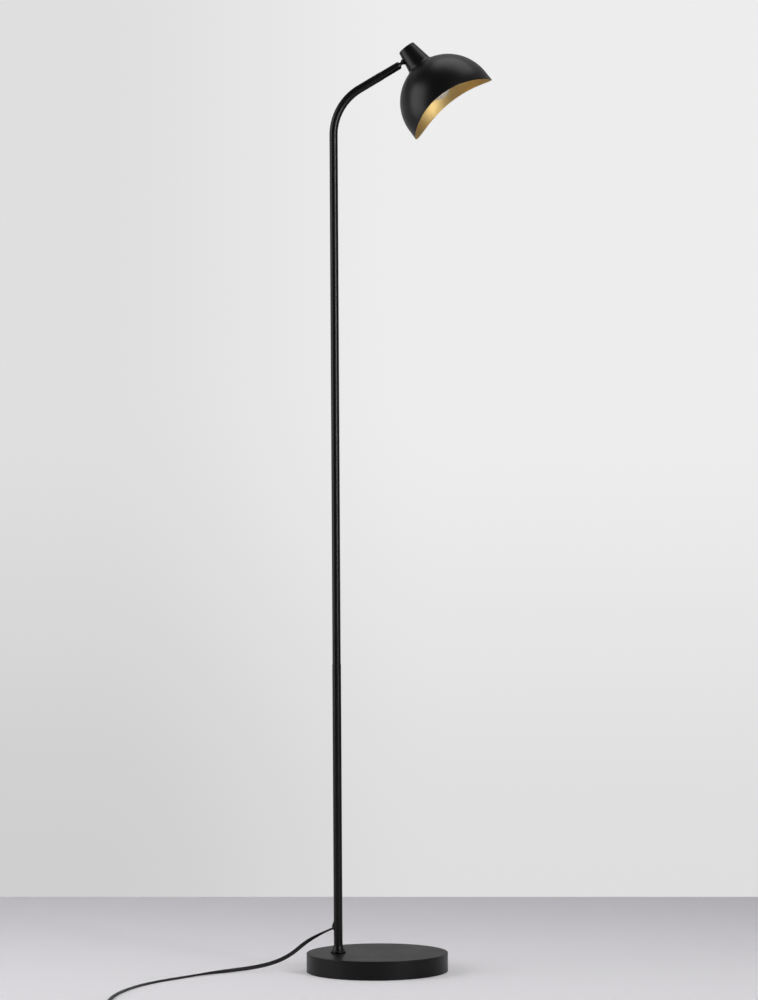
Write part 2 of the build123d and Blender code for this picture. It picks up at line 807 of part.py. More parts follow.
# Spun shade: a short flared skirt under a half sphere, its rim cut by a cylinder across it
shade_hole_radius = holder_radius + shade_hole_gap
inner_dome_radius = dome_radius - shade_wall
rim_level = -dome_radius - skirt_height
crown_side = sqrt(0.5)
saddle_radius = (rim_radius**2 + saddle_rise**2) / (2 * saddle_rise)
saddle_centre = dome_top + head_up * (rim_level + saddle_rise - saddle_radius)
rim_dir = stem_dir * cos(radians(shade_turn)) + head_depth * sin(radians(shade_turn))
saddle_plane = Plane(saddle_centre, x_dir=rim_dir, z_dir=rim_dir.cross(head_up))
with BuildPart() as shade:
    with BuildSketch(head_section):
        with BuildLine():
            Line((rim_radius, rim_level), (dome_radius, -dome_radius))
            ThreePointArc(
                (dome_radius, -dome_radius),
                (dome_radius * crown_side, dome_radius * (crown_side - 1)),
                (shade_hole_radius, dome_level(shade_hole_radius, dome_radius)),
            )
            Line(
                (shade_hole_radius, dome_level(shade_hole_radius, dome_radius)),
                (shade_hole_radius, dome_level(shade_hole_radius, inner_dome_radius)),
            )
            ThreePointArc(
                (shade_hole_radius, dome_level(shade_hole_radius, inner_dome_radius)),
                (inner_dome_radius * crown_side, inner_dome_radius * crown_side - dome_radius),
                (inner_dome_radius, -dome_radius),
            )
            Polyline(
                (inner_dome_radius, -dome_radius),
                (rim_radius - shade_wall, rim_level),
                (rim_radius, rim_level),
            )
        make_face()
    revolve(axis=head_axis)
    with BuildSketch(saddle_plane):
        Circle(saddle_radius)
    extrude(amount=2 * rim_radius, both=True, mode=Mode.SUBTRACT)
shade.part.label = "shade"
export_step(shade.part, "parts/shade.step")

# Threaded ring that clamps the shade up against the cup
ring_sphere = inner_dome_radius - fit_gap
ring_bore = holder_radius + fit_gap
ring_seat_middle = (ring_bore + ring_radius) / 2
ring_bottom = dome_level(ring_bore, ring_sphere) - ring_depth
with BuildPart() as shade_ring:
    with BuildSketch(head_section):
        with BuildLine():
            ThreePointArc(
                (ring_bore, dome_level(ring_bore, ring_sphere)),
                (ring_seat_middle, dome_level(ring_seat_middle, ring_sphere)),
                (ring_radius, dome_level(ring_radius, ring_sphere)),
            )
            Polyline(
                (ring_radius, dome_level(ring_radius, ring_sphere)),
                (ring_radius, ring_bottom),
                (ring_bore, ring_bottom),
                (ring_bore, dome_level(ring_bore, ring_sphere)),
            )
        make_face()
    revolve(axis=head_axis)
    ring_edges = shade_ring.edges().filter_by(lambda edge: edge.is_closed)
    chamfer(ring_edges.group_by(head_axis)[0].sort_by(SortBy.RADIUS)[-1], ring_chamfer)
shade_ring.part.label = "shade_ring"
export_step(shade_ring.part, "parts/shade_ring.step")

# Globe of the bulb, a sphere that runs into a straight cone and the neck
bulb_radius = bulb_diameter / 2
bulb_centre = bulb_tip_level + bulb_radius
shoulder_sin = sin(radians(bulb_shoulder_angle))
shoulder_cos = cos(radians(bulb_shoulder_angle))
neck_top = cap_bottom_level + bulb_neck_seal
with BuildPart() as bulb_glass:
    for shrink, blend in ((0, Mode.ADD), (bulb_glass_wall, Mode.SUBTRACT)):
        globe = bulb_radius - shrink
        neck = bulb_neck_radius - shrink
        cone_radius = globe * shoulder_sin
        cone_height = bulb_centre - globe * shoulder_cos
        neck_height = cone_height + (cone_radius - neck) * shoulder_sin / -shoulder_cos
        with BuildSketch(head_section) as globe_sketch:
            with BuildLine():
                ThreePointArc((0, bulb_centre - globe), (globe, bulb_centre), (cone_radius, cone_height))
                Polyline(
                    (cone_radius, cone_height),
                    (neck, neck_height),
                    (neck, neck_top),
                    (0, neck_top),
                    (0, bulb_centre - globe),
                )
            make_face()
            fillet(globe_sketch.vertices().sort_by_distance((neck, neck_height))[0], bulb_neck_fillet)
        revolve(axis=head_axis, mode=blend)
bulb_glass.part.label = "bulb_glass"
export_step(bulb_glass.part, "parts/bulb_glass.step")

# Metal cap of the bulb
with BuildPart() as bulb_cap:
    with BuildSketch(head_section):
        Polygon(
            (bulb_neck_radius + fit_gap, cap_bottom_level),
            (cap_radius, cap_bottom_level),
            (cap_radius, cap_top_level),
            (bulb_neck_radius + fit_gap, cap_top_level),
        )
    revolve(axis=head_axis)
bulb_cap.part.label = "bulb_cap"
export_step(bulb_cap.part, "parts/bulb_cap.step")

# Glass insulator that closes the end of the cap
with BuildPart() as bulb_insulator:
    with BuildSketch(head_section):
        Polygon(
            (0, cap_top_level - insulator_depth),
            (bulb_neck_radius, cap_top_level - insulator_depth),
            (bulb_neck_radius, cap_top_level),
            (contact_radius + insulator_land, insulator_top_level),
            (0, insulator_top_level),
        )
    revolve(axis=head_axis)
bulb_insulator.part.label = "bulb_insulator"
export_step(bulb_insulator.part, "parts/bulb_insulator.step")

# Contact at the end of the bulb
with BuildPart() as bulb_contact:
    with BuildSketch(head_plane.offset(insulator_top_level)):
        Circle(contact_radius)
    extrude(amount=contact_top_level - insulator_top_level)
    contact_rings = bulb_contact.edges().filter_by(lambda edge: edge.is_closed)
    fillet(contact_rings.sort_by(head_axis)[-1], contact_edge_radius)
bulb_contact.part.label = "bulb_contact"
export_step(bulb_contact.part, "parts/bulb_contact.step")

# Glass mount inside the bulb with its wire arms
with BuildPart() as bulb_mount:
    with BuildSketch(head_section):
        Polygon(
            (0, mount_tip_level),
            (mount_rod_radius, mount_tip_level),
            (mount_rod_radius, filament_top_level),
            (bulb_neck_radius - bulb_glass_wall - fit_gap, neck_top),
            (0, neck_top),
        )
    revolve(axis=head_axis)
    for arm_level in (filament_bottom_level - 2 * filament_wire_radius, filament_top_level):
        with BuildSketch(head_plane.offset(arm_level)):
            with PolarLocations(filament_circle / 2, filament_count):
                Rectangle(filament_circle + filament_radius, 2 * filament_wire_radius)
        extrude(amount=2 * filament_wire_radius)
bulb_mount.part.label = "bulb_mount"
export_step(bulb_mount.part, "parts/bulb_mount.step")

# Filament rods
with BuildPart() as bulb_filaments:
    with BuildSketch(head_plane.offset(filament_bottom_level)):
        with PolarLocations(filament_circle, filament_count):
            Circle(filament_radius)
    extrude(amount=filament_top_level - filament_bottom_level)
bulb_filaments.part.label = "bulb_filaments"
export_step(bulb_filaments.part, "parts/bulb_filaments.step")

# Two leads through the stem to the back of the lampholder
with BuildPart() as head_leads:
    for side in (-lead_spacing / 2, lead_spacing / 2):
        lead_start = ball_centre - stem_dir * ball_back_flat + head_depth * side
        lead_corner = ball_centre + stem_dir * (stem_reach - lead_drop) + head_depth * side
        lead_end = lead_corner - head_up * (stem_level - holder_back_level)
        with BuildLine():
            FilletPolyline(lead_start, lead_corner, lead_end, radius=lead_bend)
        with BuildSketch(Plane(lead_start, x_dir=head_depth, z_dir=stem_dir)):
            Circle(lead_radius)
        sweep()
head_leads.part.label = "head_leads"
export_step(head_leads.part, "parts/head_leads.step")

# Grommet where the cord leaves the lower pole, its lower face square to the cord
exit_dir = Vector(-cos(radians(cord_exit_drop)), 0, -sin(radians(cord_exit_drop)))
facet_dir = Vector(exit_dir.Z, 0, -exit_dir.X)
pole_face_x = pole_x - lower_radius
exit_point = Vector(pole_face_x, 0, cord_exit_height)
facet_centre = exit_point + exit_dir * grommet_proud
facet_tip = facet_centre + facet_dir * (grommet_facet / 2)
facet_foot = facet_centre - facet_dir * (grommet_facet / 2)
flex_start = exit_point - exit_dir * flex_start_depth
with BuildPart() as cord_grommet:
    with BuildSketch(Plane.XZ):
        Polygon(
            (pole_x, grommet_top_height),
            (pole_face_x, grommet_top_height),
            (facet_tip.X, facet_tip.Z),
            (facet_foot.X, facet_foot.Z),
            (pole_x, facet_foot.Z),
        )
    extrude(amount=grommet_width / 2, both=True)
    with BuildSketch(Plane((pole_x, 0, 0))):
        Circle(lower_radius + fit_gap)
    extrude(amount=lower_seam_height, mode=Mode.SUBTRACT)
    with BuildSketch(Plane(facet_centre, x_dir=depth, z_dir=-exit_dir)):
        Circle(grommet_neck_radius)
    extrude(amount=grommet_proud + flex_start_depth)
    with BuildSketch(Plane(facet_centre, x_dir=depth, z_dir=-exit_dir)):
        Circle(cord_radius + cord_gap)
    extrude(amount=grommet_proud + flex_start_depth, mode=Mode.SUBTRACT)
cord_grommet.part.label = "cord_grommet"
export_step(cord_grommet.part, "parts/cord_grommet.step")

# Flex inside the pole and arm, from the grommet to the joint
flex_corner = Vector(pole_x, 0, cord_exit_height + lower_radius * tan(radians(cord_exit_drop)))
flex_end = ball_centre - arm_dir * nipple_front
with BuildPart() as inner_flex:
    with BuildLine():
        FilletPolyline(
            flex_start, flex_corner, arm_corner, flex_end, radius=(flex_bend_radius, arm_bend_radius)
        )
    with BuildSketch(Plane(flex_start, x_dir=depth, z_dir=-exit_dir)):
        Circle(cord_radius)
    sweep()
inner_flex.part.label = "inner_flex"
export_step(inner_flex.part, "parts/inner_flex.step")

# Supply cord from the grommet down to the floor and along it to the foot switch
floor_lie = cord_radius + fit_gap
cord_points = [
    tuple(flex_start),
    tuple(exit_point + exit_dir * cord_lead),
    (-112.0, -1.0, 48.5),
    (-136.0, -1.0, 28.1),
    (-161.0, 0.0, 15.3),
    (-194.0, 1.0, 7.1),
    (-230.0, -4.0, floor_lie),
    (-268.0, -31.0, floor_lie),
    (-308.0, -73.0, floor_lie),
    (-345.0, -118.0, floor_lie),
    (-374.0, -172.0, floor_lie),
    (-393.0, -234.0, floor_lie),
    (-402.0, -296.0, floor_lie),
    (-401.0, -352.0, floor_lie),
    (-387.0, -404.0, floor_lie),
    (-358.0, -450.0, floor_lie),
    (-318.0, -484.0, floor_lie),
    (switch_left_x - cord_lead, switch_y, cord_lift),
    (switch_left_x + switch_port_depth, switch_y, cord_lift),
]
cord_radii = corner_radii(cord_points)
with BuildPart() as supply_cord:
    with BuildLine() as cord_route:
        FilletPolyline(*cord_points, radius=cord_radii)
    with BuildSketch(Plane(flex_start, x_dir=depth, z_dir=exit_dir)):
        Circle(cord_radius)
    sweep()
supply_cord.part.label = "supply_cord"
export_step(supply_cord.part, "parts/supply_cord.step")
cord_length = sum(edge.length for edge in cord_route.edges())
print("cord corner radii", [round(radius, 1) for radius in cord_radii])
print("cord length", round(cord_length, 1))
print("cord volume ratio", supply_cord.part.volume / (cord_area * cord_length))

# Foot switch: lower shell with a blind port for the cord at each end
switch_x = switch_left_x + switch_length / 2
switch_middle = Plane((switch_x, switch_y, 0))
screw_places = ((-switch_screw_offset, 0), (switch_screw_offset, 0))
with BuildPart() as switch_base:
    with BuildSketch(switch_middle):
        SlotOverall(switch_length, switch_width)
    extrude(amount=switch_base_height)
    fillet(switch_base.edges().group_by(Axis.Z)[0], switch_edge_radius / 2)
    for port_x, inwards in ((switch_left_x, 1), (switch_left_x + switch_length, -1)):
        with BuildSketch(Plane((port_x, switch_y, cord_lift), x_dir=(0, 1, 0), z_dir=(inwards, 0, 0))):
            Circle(cord_radius + cord_gap)
        extrude(amount=switch_port_depth, mode=Mode.SUBTRACT)
    with BuildSketch(switch_middle):
        with Locations(*screw_places):
            Circle(switch_screw_radius + fit_gap)
    extrude(amount=switch_base_height, mode=Mode.SUBTRACT)
    with BuildSketch(switch_middle):
        with Locations(*screw_places):
            Circle(switch_screw_head_radius + fit_gap)
    extrude(amount=switch_screw_head_top, mode=Mode.SUBTRACT)
switch_base.part.label = "switch_base"
export_step(switch_base.part, "parts/switch_base.step")

# Foot switch: tapered upper shell with the button's well
with BuildPart() as switch_cover:
    with BuildSketch(switch_middle.offset(switch_base_height)):
        SlotOverall(switch_length, switch_width)
    extrude(amount=switch_cover_height, taper=switch_cover_taper)
    fillet(switch_cover.edges().group_by(Axis.Z)[-1], switch_edge_radius)
    with BuildSketch(switch_middle.offset(switch_base_height)):
        Circle(button_well_radius)
    extrude(amount=button_well_top - switch_base_height, mode=Mode.SUBTRACT)
    with BuildSketch(switch_middle.offset(switch_base_height)):
        Circle(button_radius + button_gap)
    extrude(amount=switch_cover_height, mode=Mode.SUBTRACT)
    with BuildSketch(switch_middle.offset(switch_base_height)):
        with Locations(*screw_places):
            Circle(switch_screw_radius + fit_gap)
    extrude(amount=switch_screw_top - switch_base_height, mode=Mode.SUBTRACT)
switch_cover.part.label = "switch_cover"
export_step(switch_cover.part, "parts/switch_cover.step")

# Two screws from below
with BuildPart() as switch_screws:
    with BuildSketch(switch_middle.offset(switch_screw_head_bottom)):
        with Locations(*screw_places):
            Circle(switch_screw_head_radius)
    extrude(amount=switch_screw_head_top - switch_screw_head_bottom)
    with BuildSketch(switch_middle.offset(switch_screw_head_top)):
        with Locations(*screw_places):
            Circle(switch_screw_radius)
    extrude(amount=switch_screw_top - switch_screw_head_top)
switch_screws.part.label = "switch_screws"
export_step(switch_screws.part, "parts/switch_screws.step")

# Push button with its flange and the recess for the spring
button_rim = button_top_height - button_dome
button_section = Plane((switch_x, switch_y, 0), x_dir=(1, 0, 0), z_dir=-depth)
button_axis = Axis((switch_x, switch_y, 0), (0, 0, 1))
with BuildPart() as switch_button:
    with BuildSketch(button_section):
        with BuildLine():
            ThreePointArc(
                (0, button_top_height),
                (button_radius / 2, button_top_height - button_dome / 4),
                (button_radius, button_rim),
            )
            Polyline(
                (button_radius, button_rim),
                (button_radius, button_flange_top),
                (button_flange_radius, button_flange_top),
                (button_flange_radius, button_flange_bottom),
                (button_recess_radius, button_flange_bottom),
                (button_recess_radius, button_recess_top),
                (0, button_recess_top),
                (0, button_top_height),
            )
        make_face()
    revolve(axis=button_axis)
    button_rings = switch_button.edges().filter_by(lambda edge: edge.is_closed)
    fillet(button_rings.sort_by(Axis.Z)[-1], button_edge_radius)
switch_button.part.label = "switch_button"
export_step(switch_button.part, "parts/switch_button.step")

# Return spring under the button
spring_bottom = switch_base_height + button_spring_wire + fit_gap
spring_height = button_recess_top - button_spring_wire - fit_gap - spring_bottom
spring_start = Vector(switch_x + button_spring_radius, switch_y, spring_bottom)
with BuildPart() as switch_spring:
    with BuildLine() as spring_route:
        Helix(
            spring_height / button_spring_turns,
            spring_height,
            button_spring_radius,
            center=(switch_x, switch_y, spring_bottom),
        )
    with BuildSketch(Plane(spring_start, z_dir=spring_route.line % 0)):
        Circle(button_spring_wire)
    sweep(is_frenet=True)
switch_spring.part.label = "switch_spring"
export_step(switch_spring.part, "parts/switch_spring.step")

# Spare cord: half circles that wind in on the floor, climb and wind out on top
coil_start = Vector(switch_left_x + switch_length - switch_port_depth, switch_y, cord_lift)
half_pitch = coil_pitch / 2
winding_in = [coil_outer_radius - half_pitch * turn for turn in range(coil_half_turns)]
climb_radius = winding_in[-1] - half_pitch
winding_out = [climb_radius + half_pitch * (turn + 1) for turn in range(coil_half_turns + 1)]
half_turns = [(radius, 0) for radius in winding_in] + [(climb_radius, coil_layer_rise)]
half_turns += [(radius, 0) for radius in winding_out]
tail_drop = cord_lift + coil_layer_rise - plug_axis_height
with BuildPart() as cord_coil:
    with BuildLine() as coil_route:
        coil_point = Vector(coil_x, switch_y, cord_lift)
        Line(coil_start, coil_point)
        heading = 1
        for radius, rise in half_turns:
            reach = sqrt(radius**2 + (rise / 2) ** 2)
            side_point = coil_point + Vector(reach * heading, radius * heading, rise / 2)
            next_point = coil_point + Vector(0, 2 * radius * heading, rise)
            quarter = TangentArc(coil_point, side_point, tangent=(heading, 0, 0))
            TangentArc(side_point, next_point, tangent=quarter % 1)
            coil_point = next_point
            heading = -heading
        tail_middle = coil_point + Vector(coil_tail / 2, 0, -tail_drop / 2)
        tail_end = coil_point + Vector(coil_tail, 0, -tail_drop)
        tail_dip = TangentArc(coil_point, tail_middle, tangent=(1, 0, 0))
        TangentArc(tail_middle, tail_end, tangent=tail_dip % 1)
        plug_meet = tail_end + Vector(coil_tail_straight, 0, 0)
        Line(tail_end, plug_meet)
    with BuildSketch(Plane(coil_start, x_dir=(0, 1, 0), z_dir=(1, 0, 0))):
        Circle(cord_radius)
    sweep()
cord_coil.part.label = "cord_coil"
export_step(cord_coil.part, "parts/cord_coil.step")
coil_wire = coil_route.wires()[0]
coil_length = coil_wire.length
coil_steps = round(coil_length / coil_step)
coil_places = [tuple(coil_wire.position_at(step / coil_steps)) for step in range(coil_steps + 1)]
apart = round(climb_radius * pi / coil_step)
least_gap = min(
    dist(place, other)
    for index, place in enumerate(coil_places)
    for other in coil_places[index + apart :]
)
print("coil length", round(coil_length, 1))
print("coil volume ratio", cord_coil.part.volume / (cord_area * coil_length))
print("least gap of the coil to itself", round(least_gap - 2 * cord_radius, 2))

# Strap that ties the coil
tie_bottom = cord_lift - cord_width / 2 - tie_slack
tie_top = cord_lift + coil_layer_rise + cord_width / 2 + tie_slack
coil_hole_radius = winding_in[-1] - cord_radius
tie_left = coil_x + sqrt(coil_hole_radius**2 - (tie_width / 2 + half_pitch) ** 2) - tie_gap
tie_right = coil_x + coil_outer_radius + cord_radius + tie_gap
tie_inner_width = tie_right - tie_left
tie_inner_height = tie_top - tie_bottom
tie_centre = Vector(
    (tie_left + tie_right) / 2, switch_y + coil_outer_radius + half_pitch, (tie_bottom + tie_top) / 2
)
with BuildPart() as coil_tie:
    with BuildSketch(Plane(tie_centre, x_dir=(1, 0, 0), z_dir=-depth)):
        RectangleRounded(
            tie_inner_width + 2 * tie_strap, tie_inner_height + 2 * tie_strap, tie_corner + tie_strap
        )
        RectangleRounded(tie_inner_width, tie_inner_height, tie_corner, mode=Mode.SUBTRACT)
    extrude(amount=tie_width / 2, both=True)
coil_tie.part.label = "coil_tie"
export_step(coil_tie.part, "parts/coil_tie.step")

# Plug body with its grooved strain relief and the cord's port
relief_x = plug_meet.X - plug_port_depth
plug_back_x = relief_x + plug_relief_length
plug_front_x = plug_back_x + plug_body_length
plug_axis = Axis((relief_x, switch_y, plug_axis_height), (1, 0, 0))
groove_place = Vector(relief_x + plug_relief_length / 2, switch_y, plug_axis_height + relief_groove_radius)


def plug_plane(x):
    """Plane across the plug, looking towards the pins."""
    return Plane((x, switch_y, plug_axis_height), x_dir=(0, 1, 0), z_dir=(1, 0, 0))


with BuildPart() as plug_body:
    with BuildSketch(plug_plane(plug_back_x)):
        RectangleRounded(plug_rear_width, plug_rear_thickness, plug_corner)
    with BuildSketch(plug_plane(plug_back_x + plug_waist)):
        RectangleRounded(plug_width, plug_thickness, plug_corner)
    with BuildSketch(plug_plane(plug_front_x)):
        RectangleRounded(plug_width, plug_thickness, plug_corner)
    loft(ruled=True)
    fillet(plug_body.edges().group_by(Axis.X)[-1], plug_front_edge)
    with BuildSketch(plug_plane(relief_x)):
        Circle(plug_relief_tip_radius)
    with BuildSketch(plug_plane(plug_back_x)):
        Circle(plug_relief_root_radius)
    loft()
    with BuildSketch(Plane(groove_place, x_dir=(1, 0, 0), z_dir=-depth)):
        with GridLocations(relief_groove_pitch, 0, relief_groove_count, 1):
            Rectangle(relief_groove_width, plug_relief_root_radius, align=(Align.CENTER, Align.MIN))
    revolve(axis=plug_axis, mode=Mode.SUBTRACT)
    with BuildSketch(plug_plane(relief_x)):
        Circle(cord_radius + cord_gap)
    extrude(amount=plug_port_depth, mode=Mode.SUBTRACT)
plug_body.part.label = "plug_body"
export_step(plug_body.part, "parts/plug_body.step")

# Two round pins
with BuildPart() as plug_pins:
    with BuildSketch(plug_plane(plug_front_x)):
        with GridLocations(pin_spacing, 0, 2, 1):
            Circle(pin_radius)
    extrude(amount=pin_length)
    fillet(plug_pins.edges().group_by(Axis.X)[-1], pin_tip_radius)
plug_pins.part.label = "plug_pins"
export_step(plug_pins.part, "parts/plug_pins.step")
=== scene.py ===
import json
import math
from types import SimpleNamespace

import bmesh
import bpy
import numpy as np
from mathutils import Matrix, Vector


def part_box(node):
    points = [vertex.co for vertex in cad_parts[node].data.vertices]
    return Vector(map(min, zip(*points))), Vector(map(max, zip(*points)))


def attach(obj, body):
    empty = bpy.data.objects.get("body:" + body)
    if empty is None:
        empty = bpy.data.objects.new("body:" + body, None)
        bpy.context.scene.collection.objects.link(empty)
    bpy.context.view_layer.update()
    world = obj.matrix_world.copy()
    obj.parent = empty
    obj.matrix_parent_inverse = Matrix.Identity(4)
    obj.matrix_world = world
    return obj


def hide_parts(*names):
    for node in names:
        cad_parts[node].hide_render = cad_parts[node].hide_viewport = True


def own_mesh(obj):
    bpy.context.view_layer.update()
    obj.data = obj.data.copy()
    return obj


bl_info = {
    "name": "Adjustable arm floor lamp",
    "version": (1, 0, 0),
    "blender": (4, 5, 0),
    "location": "3D View > Sidebar > Lamp",
    "description": "Builds the look of a floor lamp round its packed CAD frame",
    "category": "Add Mesh",
}

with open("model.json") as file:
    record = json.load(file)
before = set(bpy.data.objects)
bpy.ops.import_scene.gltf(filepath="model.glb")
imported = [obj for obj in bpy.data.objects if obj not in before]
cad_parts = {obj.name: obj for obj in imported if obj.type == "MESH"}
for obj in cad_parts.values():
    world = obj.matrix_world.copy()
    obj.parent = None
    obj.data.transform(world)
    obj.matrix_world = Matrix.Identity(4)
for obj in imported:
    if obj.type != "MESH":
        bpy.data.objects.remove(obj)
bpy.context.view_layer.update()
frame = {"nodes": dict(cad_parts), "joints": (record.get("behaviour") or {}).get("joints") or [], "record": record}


# Properties kept on the scene

def length(label, about, default):
    """A size in metres."""
    return bpy.props.FloatProperty(
        name=label, description=about, default=default, unit="LENGTH", precision=5
    )


def angle(label, about, default):
    """An angle, given in degrees."""
    turn = math.radians(default)
    return bpy.props.FloatProperty(name=label, description=about, default=turn, subtype="ANGLE")


def number(label, about, default):
    """A plain number."""
    return bpy.props.FloatProperty(name=label, description=about, default=default, precision=4)


def whole(label, about, default, least):
    """A whole number."""
    return bpy.props.IntProperty(name=label, description=about, default=default, min=least)


def colour(label, about, default):
    """A colour in linear light."""
    return bpy.props.FloatVectorProperty(
        name=label, description=about, default=default, size=3, min=0.0, max=1.0, subtype="COLOR"
    )


class StandSizes(bpy.types.PropertyGroup):
    base_edge: length("Base edge", "Radius of the base's top edge", 0.0008)
    skirt_edge: length("Skirt edge", "Radius of the base's bottom edge", 0.0005)
    collar_bead: length("Collar bead", "Radius of the bead round the collar's foot", 0.0014)
    collar_hollow: length("Collar hollow", "How far the collar's side curves in", 0.00035)
    collar_top_wall: length("Collar top wall", "Wall of the collar at its top", 0.0004)
    collar_gap: length("Collar gap", "Gap between the collar and the pole", 0.00015)
    cover_wall: length("Cover wall", "Thickness of the base's cover", 0.0012)
    tube_wall: length("Tube wall", "Thickness of the pole's tubes", 0.001)
    seam_chamfer: length("Seam chamfer", "Bevel at the ends of the tubes", 0.00035)
    bend_radius: length("Bend radius", "Radius of the bend in the arm", 0.085)
    housing_radius: length("Housing radius", "Outside of the ball housing", 0.0063)
    housing_back: length("Housing back", "From the ball's centre to the arm", 0.0296)
    housing_mouth: length("Housing mouth", "From the ball's centre to the housing's front", 0.0034)
    mouth_chamfer: length("Mouth chamfer", "Length of the housing's front bevel", 0.0024)
    mouth_radius: length("Mouth radius", "Inside of the housing's front edge", 0.00535)
    mouth_wall: length("Mouth wall", "Width of the housing's front edge", 0.0003)
    lip_place: length("Lip place", "From the ball's centre to the lip", 0.0025)
    socket_radius: length("Socket radius", "Hollow that the ball turns in", 0.0055)


class HeadSizes(bpy.types.PropertyGroup):
    pitch: angle("Pitch", "Rise of the stem", 37.0)
    roll: angle("Roll", "Turn of the head about the stem", -2.65)
    rim_turn: angle("Rim turn", "Turn of the saddle cut about the shade's axis", -7.8)
    ball_radius: length("Ball radius", "Radius of the ball", 0.00542)
    ball_flat: length("Ball flat", "From the ball's centre to the flat at its back", 0.0042)
    neck_radius: length("Neck radius", "Radius of the stem's neck", 0.0028)
    neck_length: length("Neck length", "From the ball's centre to the shoulder", 0.007)
    shoulder_radius: length("Shoulder radius", "Radius of the stem's shoulder", 0.0046)
    shoulder_depth: length("Shoulder depth", "Length of the shoulder's flare", 0.002)
    wire_bore: length("Wire bore", "Radius of the bore for the leads", 0.0017)
    spigot_radius: length("Spigot radius", "Radius of the stem inside the cup", 0.0035)
    spigot_clear: length("Spigot clear", "From the stem's end to the shade's axis", 0.0085)
    stem_reach: length("Stem reach", "From the ball's centre to the shade's axis", 0.028205)
    stem_level: length("Stem level", "Height of the stem above the top of the dome", 0.0179)
    dome_radius: length("Dome radius", "Outside of the dome", 0.0763)
    skirt_height: length("Skirt height", "Height of the flared skirt under the dome", 0.0153)
    rim_flare: length("Rim flare", "How much wider the rim is than the dome", 0.0004)
    saddle_rise: length("Saddle rise", "How far the rim's cut rises", 0.0217)
    shade_wall: length("Shade wall", "Thickness of the shade", 0.001)
    shade_hole: length("Shade hole", "Radius of the hole at the top of the dome", 0.0138)
    cup_base_radius: length("Cup base radius", "Radius of the cup's cone at the dome", 0.0206)
    cup_taper: angle("Cup taper", "Half angle of the cup's cone", 10.0)
    cup_height: length("Cup height", "Height of the cup's cone", 0.0362)
    cup_wall: length("Cup wall", "Thickness of the cup", 0.001)
    cup_edge: length("Cup edge", "Radius of the cup's top edge", 0.0018)
    cup_crown: length("Cup crown", "Rise of the cup's top", 0.001)
    flare_radius: length("Flare radius", "Radius of the cup's foot", 0.0238)
    flare_height: length("Flare height", "Height of the cup's foot", 0.004)
    flare_lip: length("Flare lip", "Upright edge of the cup's foot", 0.00025)
    ring_radius: length("Ring radius", "Outside of the ring that clamps the shade", 0.02)
    ring_bore: length("Ring bore", "Inside of the ring that clamps the shade", 0.01355)
    ring_depth: length("Ring depth", "Depth of the ring at its bore", 0.006)
    ring_rib: length("Ring rib", "Depth of the ring's grip ribs", 0.0004)
    ring_ribs: whole("Ring ribs", "Number of the ring's grip ribs", 48, 3)


class BulbSizes(bpy.types.PropertyGroup):
    radius: length("Globe radius", "Radius of the globe", 0.0225)
    tip_level: length("Tip level", "Level of the globe's tip", -0.0673)
    wall: length("Glass wall", "Thickness of the glass", 0.0008)
    shoulder: angle("Shoulder angle", "Where the globe runs into its cone, from the tip", 125.0)
    neck_radius: length("Neck radius", "Radius of the glass neck", 0.0063)
    neck_fillet: length("Neck fillet", "Radius between cone and neck", 0.005)
    neck_top: length("Neck top", "Level of the neck's end", -0.008)
    cap_radius: length("Cap radius", "Outside of the thread", 0.0069)
    cap_inside: length("Cap inside", "Inside of the cap", 0.00635)
    cap_bottom: length("Cap bottom", "Level of the cap's lower edge", -0.013)
    cap_top: length("Cap top", "Level of the cap's upper edge", 0.005)
    thread_pitch: length("Thread pitch", "Pitch of the cap's thread", 0.00282)
    thread_depth: length("Thread depth", "Depth of the cap's thread", 0.00045)


class CordSizes(bpy.types.PropertyGroup):
    width: length("Cord width", "Width of the flat flex", 0.0064)
    thickness: length("Cord thickness", "Thickness of the flat flex", 0.0032)
    groove: length("Groove", "Depth of the hollow between the two cores", 0.00022)
    exit_turn: length("Exit turn", "Length over which the flex turns on edge after the exit", 0.075)
    edge_stretch: length("On edge", "Length from the exit to where the flex starts to turn flat", 0.135)
    turn_stretch: length("Turning", "Length over which the flex turns flat", 0.15)
    coil_radius: length("Coil radius", "Radius of the first half turn", 0.038)
    coil_step: length("Coil step", "Change of radius at each half turn", 0.0027)
    coil_level: length("Coil level", "Height of the lower layer's centreline", 0.0040)
    coil_rise: length("Coil rise", "Height between the two layers", 0.0068)
    coil_half_turns: whole("Half turns", "Half turns of the lower layer", 5, 1)
    points_per_half_turn: whole("Points", "Spline points in each half turn", 8, 6)
    spring_wire: length("Spring wire", "Radius of the wire of the switch's return spring", 0.0005)
    spring_turns: whole("Spring turns", "Turns of the switch's return spring", 4, 1)


